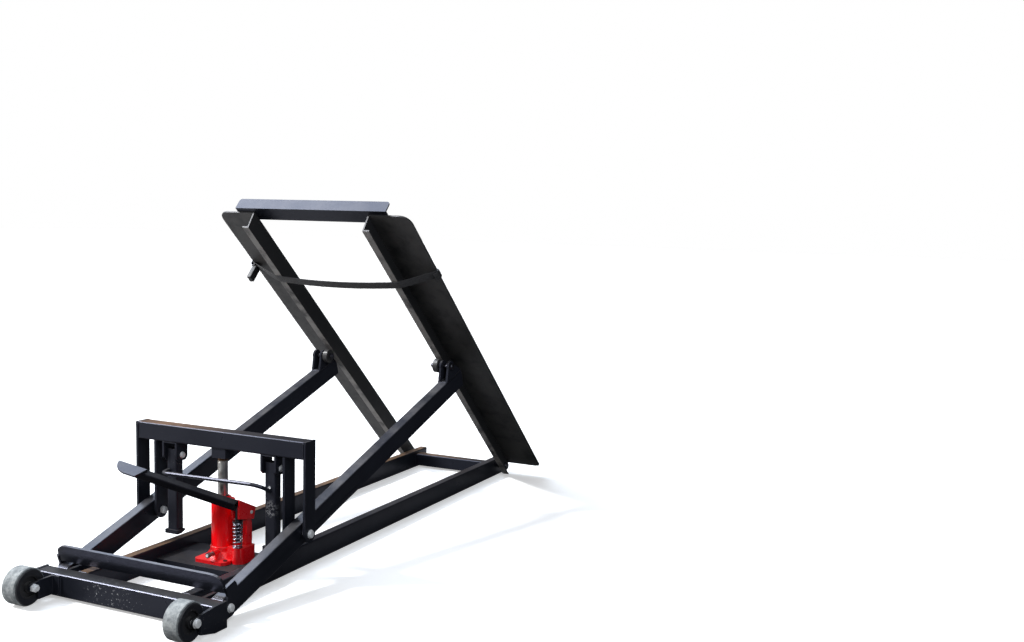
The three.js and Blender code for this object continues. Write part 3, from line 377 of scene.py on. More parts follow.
class Effects:
    """The shader groups that several finishes share."""

    def __init__(self) -> None:
        """Builds the groups."""
        number = "NodeSocketFloat"
        stretch = ("Stretch", "NodeSocketVector", (1.0, 1.0, 1.0))
        worn = [("Radius", number, 0.0012), ("Amount", number, 1.0)]
        dusty = [("Film", number, 0.5), ("Specks", number, 0.5)]
        self.edge_wear = shader_group("edge_wear", worn, [("Mask", number)], build_edge_wear)
        self.dust = shader_group("dust", dusty, [("Mask", number)], build_dust)
        self.scratches = shader_group("scratches", [stretch], [("Height", number)], build_scratches)

    def use(self, graph: Graph, group: bpy.types.NodeTree, **inputs: Source) -> bpy.types.NodeSocket:
        """Adds one of the groups to a material.

        Args:
            graph: The material's graph.
            group: The group to add.
            **inputs: What its inputs are set to.

        Returns:
            The group's output.
        """
        made = graph.node("ShaderNodeGroup", node_tree=group)
        for key, value in inputs.items():
            graph.feed(made, key, value)
        return made.outputs[0]


@dataclass(frozen=True)
class Finish:
    """Base of the finishes: a named material with a Principled shader."""

    name: str

    def start(self) -> tuple[bpy.types.Material, Graph, bpy.types.Node]:
        """Makes a material that has only its shader and its output.

        Returns:
            The material, its graph and its Principled node.
        """
        material = bpy.data.materials.new(self.name)
        material.use_nodes = True
        material.node_tree.nodes.clear()
        graph = Graph(material.node_tree)
        shader = graph.node("ShaderNodeBsdfPrincipled")
        graph.node("ShaderNodeOutputMaterial", {0: shader.outputs[0]})
        return material, graph, shader

    def make(self, effects: Effects) -> bpy.types.Material:
        """Builds the material.

        Args:
            effects: The shared groups.

        Returns:
            The material.
        """
        raise NotImplementedError


@dataclass(frozen=True)
class Mark:
    """A cloud of pale specks about one place.

    reach is its size in metres, grain how fine the specks are, and low the noise above which they show.
    """

    place: Point
    reach: float
    grain: float
    low: float
    amount: float = 0.8
    colour: Colour = (0.6, 0.6, 0.62)

    def mask(self, graph: Graph, place: Source) -> bpy.types.NodeSocket:
        """Works out where the specks are.

        Args:
            graph: The material's graph.
            place: The coordinates of the surface.

        Returns:
            The mask from 0 to 1.
        """
        near = graph.ramp(graph.measure("DISTANCE", place, self.place), self.reach, self.reach * 0.3)
        specks = graph.ramp(graph.noise(place, self.grain, 3.0, 0.6), self.low, self.low + 0.05)
        return graph.times(graph.times(near, specks), self.amount, clamp=True)


@dataclass(frozen=True)
class Coat(Finish):
    """Powder coat or enamel on steel, with dust, specks and worn edges.

    The top and under tints lie on the faces that look up and down. The top tint is dust on the cross tube and
    the tray, and a painted reflection of brown surroundings on the rails and the bar; the under tint is a
    painted reflection of the sunlit ground. With top_fade, the top tint sets in over that range of Y. With
    lip, most of the under tint keeps to the lips of the platform's beams. With dull_along, the coat gets
    duller over that range of X.
    """

    colour: Colour = (0.013, 0.0145, 0.02)
    shade: Colour = (0.0085, 0.0095, 0.014)
    specular: float = 0.4
    gleam: Colour = (0.72, 0.75, 1.0)
    top: Colour = (0.1, 0.1, 0.1)
    top_amount: float = 0.0
    top_fade: tuple[float, float] | None = None
    under: Colour = (0.1, 0.1, 0.1)
    under_reflection_amount: float = 0.0
    lip: bool = False
    dust_colour: Colour = (0.32, 0.3, 0.28)
    film: float = 0.25
    specks: float = 0.5
    wear: float = 0.6
    wear_colour: Colour = (0.2, 0.2, 0.24)
    roughness: float = 0.3
    gloss_coat: float = 0.0
    peel: float = 0.12
    peel_scale: float = 420.0
    marks: tuple[Mark, ...] = ()
    dull_along: tuple[float, float] | None = None

    def tone(self, graph: Graph, place: Source, facing: Source) -> bpy.types.NodeSocket:
        """Mixes the coat's own colour with the tints of its top and under faces.

        Args:
            graph: The material's graph.
            place: The coordinates of the surface.
            facing: How far the surface looks up, from -1 to 1.

        Returns:
            The colour under the dust and the wear.
        """
        cloud = graph.ramp(graph.noise(place, 6.0, 5.0), 0.3, 0.7)
        streak = graph.ramp(graph.noise(place, 14.0, 6.0, 0.7), 0.25, 0.6)
        colour = graph.mix(cloud, self.shade, self.colour)
        # The top tint: dust on the cross tube and the tray, and on the rails and the bar a painted reflection
        # of brown surroundings.
        up = graph.times(graph.ramp(facing, 0.8, 0.98), self.top_amount)
        if self.top_fade is not None:
            up = graph.times(up, graph.ramp(graph.axis(place, "Y"), *self.top_fade))
        colour = graph.mix(graph.times(up, streak), colour, self.top)
        # Painted reflection: the faces that look down get the pale under tint, as if lit by the sunlit
        # ground.
        down = graph.times(graph.ramp(facing, -0.5, -0.7), self.under_reflection_amount)
        if self.lip:
            reach = graph.ramp(graph.measure("DOT_PRODUCT", place, tuple(PLATFORM_DOWN)), *LIP_REFLECTION_BAND)
            down = graph.times(down, graph.plus(graph.times(reach, 0.8), 0.2))
        return graph.mix(graph.times(down, streak), colour, self.under)

    def gloss(self, graph: Graph, place: Source, dust: Source) -> bpy.types.NodeSocket:
        """Works out how rough the coat is.

        Args:
            graph: The material's graph.
            place: The coordinates of the surface.
            dust: Where dust lies, which is rough.

        Returns:
            The roughness.
        """
        cloud = graph.times(graph.noise(place, 30.0, 5.0, 0.7), 0.16)
        rough = graph.plus(graph.plus(cloud, self.roughness - 0.08), graph.times(dust, 0.35), clamp=True)
        if self.dull_along is not None:
            dull = graph.times(graph.ramp(graph.axis(place, "X"), *self.dull_along), 0.6)
            rough = graph.plus(rough, dull, clamp=True)
        return rough

    def make(self, effects: Effects) -> bpy.types.Material:
        """Builds the material.

        Args:
            effects: The shared groups.

        Returns:
            The material.
        """
        material, graph, shader = self.start()
        place = graph.surface()
        facing = graph.axis(graph.surface("Normal"), "Z")
        dust = effects.use(graph, effects.dust, Film=self.film, Specks=self.specks)
        wear = effects.use(graph, effects.edge_wear, Amount=self.wear)
        colour = graph.mix(dust, self.tone(graph, place, facing), self.dust_colour)
        colour = graph.mix(wear, colour, self.wear_colour)
        for mark in self.marks:
            colour = graph.mix(mark.mask(graph, place), colour, mark.colour)
        for key, value in (
            ("Base Color", colour),
            ("Roughness", self.gloss(graph, place, dust)),
            ("Specular IOR Level", self.specular),
            ("Specular Tint", self.gleam),
            ("Coat Weight", self.gloss_coat),
            ("Coat Roughness", 0.08),
        ):
            graph.feed(shader, key, value)
        graph.bump(shader, graph.noise(place, self.peel_scale, 2.0, 0.4), self.peel, 0.0006)
        return material


@dataclass(frozen=True)
class Metal(Finish):
    """Bare or plated metal with fine scratches and dull patches.

    With band, the metal has a second colour from that range of height upwards.
    """

    colour: Colour = (0.55, 0.56, 0.58)
    dull: Colour = (0.33, 0.32, 0.3)
    roughness: float = 0.3
    stretch: Point = (1.0, 1.0, 1.0)
    dull_amount: float = 0.6
    metallic: float = 1.0
    band: tuple[float, float] | None = None
    band_colour: Colour = (0.16, 0.09, 0.05)

    def make(self, effects: Effects) -> bpy.types.Material:
        """Builds the material.

        Args:
            effects: The shared groups.

        Returns:
            The material.
        """
        material, graph, shader = self.start()
        place = graph.surface()
        patch = graph.ramp(graph.noise(place, 85.0, 5.0, 0.65), 0.4, 0.75)
        colour = graph.mix(graph.times(patch, self.dull_amount), self.colour, self.dull)
        rough = graph.plus(graph.times(patch, 0.22), self.roughness)
        if self.band is not None:
            ragged = graph.plus(graph.axis(place, "Z"), graph.times(graph.noise(place, 220.0, 4.0), 0.004))
            above = graph.ramp(ragged, *self.band)
            colour = graph.mix(above, colour, self.band_colour)
            rough = graph.plus(rough, graph.times(above, 0.35), clamp=True)
        graph.feed(shader, "Base Color", colour)
        graph.feed(shader, "Roughness", rough)
        graph.feed(shader, "Metallic", self.metallic)
        graph.bump(shader, effects.use(graph, effects.scratches, Stretch=self.stretch), 0.12, 0.0003)
        return material


@dataclass(frozen=True)
class Tyre(Finish):
    """Solid rubber: black sides and a tread that rolling has worn pale."""

    axle: Point = (0.0, 0.0, 0.0)
    radius: float = 0.042
    tread: Colour = (0.38, 0.4, 0.4)
    scuffed: Colour = (0.15, 0.165, 0.175)
    pit: Colour = (0.12, 0.12, 0.12)
    side: Colour = (0.014, 0.015, 0.02)
    dust_colour: Colour = (0.3, 0.29, 0.27)

    def make(self, effects: Effects) -> bpy.types.Material:
        """Builds the material.

        Args:
            effects: The shared groups.

        Returns:
            The material.
        """
        material, graph, shader = self.start()
        place = graph.surface()
        local = graph.node("ShaderNodeVectorMath", {0: place, 1: self.axle}, operation="SUBTRACT").outputs[0]
        flat = graph.node("ShaderNodeCombineXYZ", {0: graph.axis(local, "X"), 2: graph.axis(local, "Z")})
        noise = graph.noise(place, 90.0, 6.0, 0.7)
        uneven = graph.times(graph.math("SUBTRACT", noise, 0.5), 0.003)
        ragged = graph.plus(graph.measure("LENGTH", flat.outputs[0]), uneven)
        worn = graph.ramp(ragged, self.radius - 0.0035, self.radius - 0.0015)
        patches = graph.ramp(graph.noise(place, 55.0, 6.0, 0.75), 0.34, 0.68)
        pits = graph.times(graph.ramp(graph.noise(place, 260.0, 3.0, 0.6), 0.62, 0.7), 0.5)
        tread = graph.mix(pits, graph.mix(patches, self.scuffed, self.tread), self.pit)
        side = graph.mix(effects.use(graph, effects.dust, Film=0.1, Specks=0.5), self.side, self.dust_colour)
        graph.feed(shader, "Base Color", graph.mix(worn, side, tread))
        graph.feed(shader, "Roughness", graph.plus(graph.times(worn, 0.35), 0.5))
        graph.bump(shader, graph.times(noise, worn), 0.5, 0.0012)
        return material


@dataclass(frozen=True)
class Plastic(Finish):
    """Moulded plastic with a fine grain."""

    colour: Colour = (0.02, 0.02, 0.022)
    dust_colour: Colour = (0.25, 0.24, 0.23)
    roughness: float = 0.5
    grain: float = 500.0

    def make(self, effects: Effects) -> bpy.types.Material:
        """Builds the material.

        Args:
            effects: The shared groups.

        Returns:
            The material.
        """
        material, graph, shader = self.start()
        dust = effects.use(graph, effects.dust, Film=0.3, Specks=0.6)
        graph.feed(shader, "Base Color", graph.mix(dust, self.colour, self.dust_colour))
        graph.feed(shader, "Roughness", graph.plus(graph.times(dust, 0.3), self.roughness))
        graph.bump(shader, graph.noise(graph.surface(), self.grain, 2.0), 0.2, 0.0004)
        return material


@dataclass(frozen=True)
class Webbing(Finish):
    """Woven strap, read from the strap's own length and width coordinates."""

    colour: Colour = (0.03, 0.03, 0.034)
    light: Colour = (0.085, 0.085, 0.09)
    rib: float = 0.0024
    thread: float = 0.0032

    def make(self, effects: Effects) -> bpy.types.Material:
        """Builds the material.

        Args:
            effects: The shared groups.

        Returns:
            The material.
        """
        material, graph, shader = self.start()
        place = graph.node("ShaderNodeUVMap", uv_map="weave").outputs[0]
        along = graph.math("SINE", graph.times(graph.axis(place, "X"), math.tau / self.rib))
        across = graph.math("SINE", graph.times(graph.axis(place, "Y"), math.tau / self.thread))
        weave = graph.plus(graph.times(graph.times(along, across), 0.5), 0.5)
        fray = graph.ramp(graph.noise(graph.surface(), 160.0, 5.0, 0.7), 0.2, 0.8)
        tone = graph.times(weave, fray, clamp=True)
        graph.feed(shader, "Base Color", graph.mix(tone, self.colour, self.light))
        graph.feed(shader, "Roughness", 0.85)
        graph.feed(shader, "Sheen Weight", 0.15)
        graph.bump(shader, weave, 0.6, 0.0005)
        return material


class Palette:
    """Every finish of the lift, made once."""

    def __init__(self) -> None:
        """Makes the materials."""
        effects = Effects()
        finishes = (*self.blacks(), *self.reds(), *self.metals(), *self.others())
        self.materials = {finish.name: finish.make(effects) for finish in finishes}

    def blacks(self) -> list[Finish]:
        """Lists the black powder coats, each dirty in its own way; the rails, bar and beams also carry
        painted reflections, and the lever painted shade.

        Returns:
            The finishes.
        """
        specks_left = Mark(tuple(lift_point(0, 38, 30)), 0.075, 230.0, 0.635)
        specks_right = Mark(tuple(lift_point(0, -30, 24)), 0.06, 260.0, 0.66)
        specks_strut = Mark(tuple(lift_point(FRAME_X - 12, -147, 171)), 0.026, 170.0, 0.5, 0.35)
        return [
            Coat("black_coat"),
            Coat("black_coat_arm", dull_along=(-0.26, -0.08)),
            # The brown top tint on the rails and the bar is a painted reflection of brown surroundings, on
            # the left side only.
            Coat("black_coat_rails", top=(0.2, 0.12, 0.07), top_amount=0.8, top_fade=(-0.12, 0.12),
                 film=0.08),
            Coat("black_coat_bar", top=(0.2, 0.11, 0.06), top_amount=0.8, top_fade=(-0.08, 0.16), film=0.05,
                 specks=0.2),
            Coat("black_coat_cross", top=(0.03, 0.03, 0.029), top_amount=0.6, film=0.12, specks=1.0, wear=0.9,
                 marks=(specks_left, specks_right)),
            # The beams' pale under tint is a painted reflection of the sunlit ground on their lips.
            Coat("black_coat_beam", colour=(0.03, 0.03, 0.031), shade=(0.022, 0.022, 0.024), specular=0.35,
                 wear=0.2, film=0.08, roughness=0.46, gleam=(0.95, 0.95, 1.0), under=(0.33, 0.315, 0.3),
                 under_reflection_amount=0.95, lip=True),
            # The lever's coat is darker than the other black coats: painted shade, since its broad face looks
            # away from the light.
            Coat("black_coat_lever", colour=(0.006, 0.006, 0.008), shade=(0.004, 0.004, 0.006), specular=0.05,
                 roughness=0.5, film=0.06, wear=0.4),
            Coat("black_coat_tray", top=(0.03, 0.029, 0.028), top_amount=0.7, film=0.05, specular=0.16,
                 roughness=0.55),
            Coat("black_coat_strut", specks=0.8, film=0.2, roughness=0.42, marks=(specks_strut,)),
        ]

    def reds(self) -> list[Finish]:
        """Lists the jack's two red paints.

        Returns:
            The finishes.
        """
        return [
            Coat("red_enamel", colour=(0.97, 0.003, 0.007), shade=(0.85, 0.003, 0.006), gleam=WHITE,
                 film=0.04, specks=0.2, wear=0.35, wear_colour=(0.4, 0.12, 0.1), roughness=0.24,
                 gloss_coat=0.5, peel=0.06, peel_scale=260.0),
            Coat("red_casting", colour=(0.8, 0.003, 0.008), shade=(0.62, 0.003, 0.007), gleam=WHITE,
                 film=0.16, specks=0.4, wear=0.5, wear_colour=(0.4, 0.15, 0.12), roughness=0.28,
                 gloss_coat=0.6, peel=0.9, peel_scale=200.0),
        ]

    def metals(self) -> list[Finish]:
        """Lists the plated and bare metals.

        Returns:
            The finishes.
        """
        return [
            Metal("zinc_plate", colour=(0.93, 0.94, 0.95), dull=(0.55, 0.55, 0.55), roughness=0.34,
                  metallic=0.2),
            Metal("spring_wire", colour=(0.3, 0.3, 0.36), roughness=0.22, dull_amount=0.12),
            Metal("polished_ram", colour=(0.66, 0.65, 0.62), roughness=0.3, stretch=(1.0, 1.0, 0.08),
                  dull_amount=0.08, band=(0.2695, 0.2725)),
            # Dark steel; on the pump plunger it also stands in as painted shade for the dark inside of the
            # spring.
            Metal("dark_steel", colour=(0.11, 0.11, 0.13), dull=(0.05, 0.05, 0.05), roughness=0.34),
            Metal("hook_steel", colour=(0.25, 0.25, 0.26), dull=(0.1, 0.09, 0.08), roughness=0.42),
        ]

    def others(self) -> list[Finish]:
        """Lists the rubber, plastic and webbing.

        Returns:
            The finishes.
        """
        x, _, z = WHEEL_AXLE
        middle = 221
        return [
            *(Tyre(f"tyre_{side}", axle=tuple(lift_point(x, sign * middle, z))) for side, sign in SIDES),
            Plastic("hub_plastic"),
            Plastic("roller_nylon", colour=(0.035, 0.035, 0.037), roughness=0.4),
            Webbing("strap_weave"),
        ]

    def paint(self, piece: bpy.types.Object, name: str) -> None:
        """Gives a piece one finish all over.

        Args:
            piece: The object to paint.
            name: The finish.
        """
        piece.data.materials.clear()
        piece.data.materials.append(self.materials[name])


# Modelling tools


def clear_selection() -> None:
    """Leaves nothing selected before the next tool."""
    bpy.ops.object.select_all(action="DESELECT")


def activate(piece: bpy.types.Object) -> None:
    """Selects one piece alone and makes it the active one.

    Args:
        piece: The object to work on.
    """
    clear_selection()
    piece.select_set(True)
    bpy.context.view_layer.objects.active = piece


def add(tool: Callable[..., Any], name: str, **settings: Any) -> bpy.types.Object:
    """Adds a primitive and names it.

    Args:
        tool: The operator that adds it.
        name: The object's name.
        **settings: The operator's size and place.

    Returns:
        The new object.
    """
    clear_selection()
    tool(**settings)
    made = bpy.context.object
    made.name = name
    made.data.name = name
    return made


def rod(name: str, sides: int, radius: float, height: float) -> bpy.types.Object:
    """Adds an upright rod that stands on the origin.

    Args:
        name: The object's name.
        sides: How many sides it has.
        radius: Its radius in millimetres.
        height: Its height in millimetres.

    Returns:
        The new object.
    """
    return add(bpy.ops.mesh.primitive_cylinder_add, name, vertices=sides, radius=radius / 1000,
               depth=height / 1000, location=(0, 0, height / 2000))


def block(name: str, size: Point, centre: Point) -> bpy.types.Object:
    """Adds a box.

    Args:
        name: The object's name.
        size: Its size in millimetres.
        centre: Its centre in millimetres.

    Returns:
        The new object.
    """
    box = add(bpy.ops.mesh.primitive_cube_add, name, size=1.0, scale=tuple(value / 1000 for value in size),
              location=tuple(value / 1000 for value in centre))
    activate(box)
    bpy.ops.object.transform_apply(location=True, rotation=False, scale=True)
    return box


def hoop(
    name: str, radius: float, wire: float, sides: tuple[int, int], rise: float = 0.0
) -> bpy.types.Object:
    """Adds a ring of round wire that lies flat.

    Args:
        name: The object's name.
        radius: The ring's middle radius in millimetres.
        wire: The wire's radius in millimetres.
        sides: Steps round the ring and round the wire.
        rise: How high it lies, in metres.

    Returns:
        The new object.
    """
    return add(bpy.ops.mesh.primitive_torus_add, name, major_radius=radius / 1000, minor_radius=wire / 1000,
               major_segments=sides[0], minor_segments=sides[1], location=(0, 0, rise))


@contextmanager
def editing_top(piece: bpy.types.Object) -> Iterator[None]:
    """Selects only the faces that look up, and opens edit mode on them.

    Args:
        piece: The object to edit.

    Yields:
        Nothing; the tools run inside.
    """
    mesh = piece.data
    for item in (*mesh.vertices, *mesh.edges):
        item.select = False
    for polygon in mesh.polygons:
        polygon.select = polygon.normal.z > 0.9
        for index in polygon.vertices if polygon.select else ():
            mesh.vertices[index].select = True
    chosen = {tuple(sorted(key)) for polygon in mesh.polygons if polygon.select for key in polygon.edge_keys}
    for edge in mesh.edges:
        edge.select = tuple(sorted(edge.vertices)) in chosen
    bpy.context.view_layer.objects.active = piece
    bpy.ops.object.mode_set(mode="EDIT")
    bpy.ops.mesh.select_mode(type="FACE")
    yield
    bpy.ops.object.mode_set(mode="OBJECT")


def inset_top(piece: bpy.types.Object, width: float, rise: float, passes: int = 1) -> None:
    """Insets the top of a piece and raises or sinks what is inside.

    Args:
        piece: The object to change.
        width: The width of each inset in metres.
        rise: How far the inside rises, in metres; it sinks when negative.
        passes: How many insets there are.
    """
    with editing_top(piece):
        for _ in range(passes):
            bpy.ops.mesh.inset(thickness=width)
        bpy.ops.transform.translate(value=(0, 0, rise))


def ripple(piece: bpy.types.Object, rings: int, pitch: float, swell: float) -> None:
    """Draws the top of a rod out in rings that are wide and narrow by turns.

    Args:
        piece: The rod.
        rings: How many rings are added.
        pitch: The height of each ring in metres.
        swell: How much wider the first ring ends; the next one goes back.
    """
    with editing_top(piece):
        for step in range(rings):
            grow = 1 / swell if step % 2 else swell
            bpy.ops.mesh.extrude_region_move(TRANSFORM_OT_translate={"value": (0, 0, pitch)})
            bpy.ops.transform.resize(value=(grow, grow, 1.0))


def join(name: str, parts: Sequence[bpy.types.Object]) -> bpy.types.Object:
    """Makes one object of several.

    Args:
        name: The joined object's name.
        parts: The objects to join.

    Returns:
        The joined object.
    """
    whole = parts[0]
    activate(whole)
    for part in parts:
        part.select_set(True)
    bpy.ops.object.join()
    whole.name = name
    whole.data.name = name
    return whole


def soften(piece: bpy.types.Object, width: float, segments: int, angle: float) -> None:
    """Rounds a new piece's edges for good.

    Args:
        piece: The object to round.
        width: The rounding in metres.
        segments: Steps in the rounding.
        angle: Edges sharper than this many degrees are rounded.
    """
    activate(piece)
    bevel = piece.modifiers.new("soft_edges", "BEVEL")
    bevel.width = width
    bevel.segments = segments
    bevel.limit_method = "ANGLE"
    bevel.angle_limit = math.radians(angle)
    bpy.ops.object.modifier_apply(modifier=bevel.name)


def smooth(piece: bpy.types.Object, angle: float = 35.0) -> None:
    """Shades a piece smoothly across its shallow edges.

    Args:
        piece: The object to shade.
        angle: Edges sharper than this many degrees stay crisp.
    """
    activate(piece)
    bpy.ops.object.shade_smooth_by_angle(angle=math.radians(angle))


def settle(piece: bpy.types.Object, axes: Matrix) -> None:
    """Moves a piece from a part's own axes into the frame and leaves it at the origin.

    Args:
        piece: The finished object.
        axes: The matrix from the part's axes to the frame.
    """
    piece.data.transform(axes @ piece.matrix_world)
    piece.matrix_world = Matrix.Identity(4)


@dataclass
class Piece:
    """One finished object and what it needs to join the lift."""

    shape: bpy.types.Object
    finish: str
    body: Body
    slot: Slot
    stands_for: tuple[str, ...] = ()

    def place(self, palette: Palette) -> bpy.types.Object:
        """Paints the piece and fixes it to its body.

        Args:
            palette: The finishes.

        Returns:
            The placed object.
        """
        palette.paint(self.shape, self.finish)
        if self.stands_for:
            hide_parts(*self.stands_for)
        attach(self.shape, self.body.value)
        return self.shape


# Sub-assemblies. Their numbers are millimetres, and their vectors are metres.


@dataclass(frozen=True)
class BoltSize:
    """A bolt with a domed head at one end and a nut at the other."""

    shank: float
    head: float
    head_height: float
    nut: float
    nut_height: float
    tail: float
    washer: float


@dataclass
class Bolt:
    """A detailed bolt in place of a CAD one, along the Y axis."""

    node: str
    size: BoltSize
    centre: Vector
    head_face: float
    nut_face: float
    body: Body
    turn: float = 0.0
    finish: str = "zinc_plate"
    washer_height: float = 1.2
    thread_pitch: float = 0.6
    thread_depth: float = 0.88

    def outward(self, face: float, sign: float) -> Matrix:
        """Gives the axes of one end of the bolt, which is modelled upright.

        Args:
            face: Where its seat is along Y.
            sign: Which way along Y it points.

        Returns:
            The matrix from the end's own axes to the bolt's.
        """
        return Matrix.Translation((0, face / 1000, 0)) @ Matrix.Rotation(-sign * math.pi / 2, 4, "X")

    def head(self, sign: float) -> bpy.types.Object:
        """Models the domed head and its washer.

        Args:
            sign: Which way along Y the head points.

        Returns:
            The head.
        """
        size = self.size
        disc = rod("head", 28, size.head, size.head_height)
        inset_top(disc, size.head * 0.3 / 1000, size.head_height * 0.06 / 1000, passes=2)
        soften(disc, size.head_height * 0.45 / 1000, 4, 50.0)
        ring = rod("washer", 28, size.head + size.washer, self.washer_height)
        soften(ring, 0.0003, 2, 50.0)
        whole = join("head", [disc, ring])
        settle(whole, self.outward(self.head_face, sign))
        return whole

    def nut(self, sign: float) -> bpy.types.Object:
        """Models the hexagon nut and the threaded end.

        Args:
            sign: Which way along Y the nut points.

        Returns:
            The nut end.
        """
        size = self.size
        hexagon = rod("nut", 6, size.nut, size.nut_height)
        inset_top(hexagon, size.nut * 0.1 / 1000, size.nut * 0.05 / 1000)
        soften(hexagon, 0.0006, 2, 25.0)
        end = rod("thread", 20, size.shank * 0.96, size.nut_height)
        rings = max(2, round(size.tail / self.thread_pitch))
        ripple(end, rings, self.thread_pitch / 1000, self.thread_depth)
        whole = join("nut", [hexagon, end])
        settle(whole, self.outward(self.nut_face, sign))
        return whole

    def build(self) -> Piece:
        """Models the whole bolt.

        Returns:
            The piece.
        """
        sign = 1.0 if self.head_face > self.nut_face else -1.0
        length = abs(self.head_face - self.nut_face) / 1000
        middle = (self.head_face + self.nut_face) / 2000
        shank = add(bpy.ops.mesh.primitive_cylinder_add, "shank", vertices=20, radius=self.size.shank / 1000,
                    depth=length, location=(0, middle, 0), rotation=(math.pi / 2, 0, 0))
        settle(shank, Matrix.Identity(4))
        bolt = join(f"{self.node}_detail", [shank, self.head(sign), self.nut(-sign)])
        smooth(bolt)
        settle(bolt, Matrix.Translation(self.centre) @ Matrix.Rotation(self.turn, 4, "Y"))
        return Piece(bolt, self.finish, self.body, Slot.ZINC, (self.node,))


@dataclass(frozen=True)
class Hardware:
    """All bolts of the lift, with the size of each kind."""

    axle: BoltSize = BoltSize(shank=6, head=9.4, head_height=7, nut=9.5, nut_height=8, tail=5, washer=1.0)
    pivot: BoltSize = BoltSize(shank=6, head=9, head_height=6, nut=10, nut_height=8, tail=4, washer=1.2)
    hinge: BoltSize = BoltSize(shank=8, head=12, head_height=7, nut=11, nut_height=7, tail=4, washer=1.0)
    leg: BoltSize = BoltSize(shank=6, head=9.6, head_height=6, nut=10, nut_height=8, tail=4, washer=1.0)
    tip: BoltSize = BoltSize(shank=6, head=9.4, head_height=7, nut=9, nut_height=7, tail=4, washer=1.0)
    strut: BoltSize = BoltSize(shank=5, head=7.4, head_height=5, nut=7.5, nut_height=6, tail=3, washer=0.9)

    def build(self) -> list[Piece]:
        """Models every bolt.

        Returns:
            The pieces.
        """
        made: list[Bolt] = []
        axle, pivot, hinge = (lift_point(*place) for place in (WHEEL_AXLE, ARM_PIVOT, PLATFORM_HINGE))
        leg = lift_point(FRAME_X, 0, FRAME_Z)
        tip = ARM_AXES @ Vector((1.079, 0, 0.061))
        dark = "dark_steel"
        for side, sign in SIDES:
            strut = lift_point(FRAME_X, sign * 146, 268)
            made += [
                Bolt(f"axle_bolt_{side}", self.axle, axle, sign * 253, sign * 191, Body.BASE),
                Bolt(f"arm_pivot_bolt_{side}", self.pivot, pivot, sign * 239.3, sign * 186, Body.BASE),
                Bolt(f"hinge_pin_{side}", self.hinge, hinge, sign * 182.3, sign * 133, Body.BASE,
                     finish=dark),
                Bolt(f"frame_pivot_bolt_{side}", self.leg, leg, sign * 250.8, sign * 187.2, Body.ARMS),
                Bolt(f"tip_roller_bolt_{side}", self.tip, tip, sign * 233.3, sign * 180.7, Body.ARMS,
                     -ARM_ANGLE, dark),
                Bolt(f"strut_bolt_{side}", self.strut, strut, -22, 22, Body.FRAME),
            ]
        return [bolt.build() for bolt in made]


@dataclass(frozen=True)
class Seam:
    """A rippled line of weld between two points, which are given for the left side."""

    name: str
    start: Point
    end: Point
    radius: float = 2.0
    pitch: float = 2.8
    narrow: float = 0.7
    swell: float = 1.3

    def build(self, ending: str, sign: int, axes: Matrix, body: Body) -> Piece:
        """Models the bead as a rod whose rings swell and shrink.

        Args:
            ending: What is added to the seam's name.
            sign: 1 on the left and -1 on the right.
            axes: The matrix from the axes of measurement to the frame.
            body: The body that carries it.

        Returns:
            The piece.
        """
        start, end = (axes @ (Vector((x, sign * y, z)) / 1000) for x, y, z in (self.start, self.end))
        run = end - start
        steps = max(3, round(run.length * 1000 / self.pitch))
        bead = rod(f"weld_{self.name}{ending}", 8, self.radius * self.narrow, run.length * 1000 / steps)
        ripple(bead, steps - 1, run.length / steps, self.swell)
        smooth(bead, 60.0)
        turn = Vector((0, 0, 1)).rotation_difference(run.normalized()).to_matrix().to_4x4()
        settle(bead, Matrix.Translation(start) @ turn)
        return Piece(bead, "black_coat", body, Slot.BLACK)


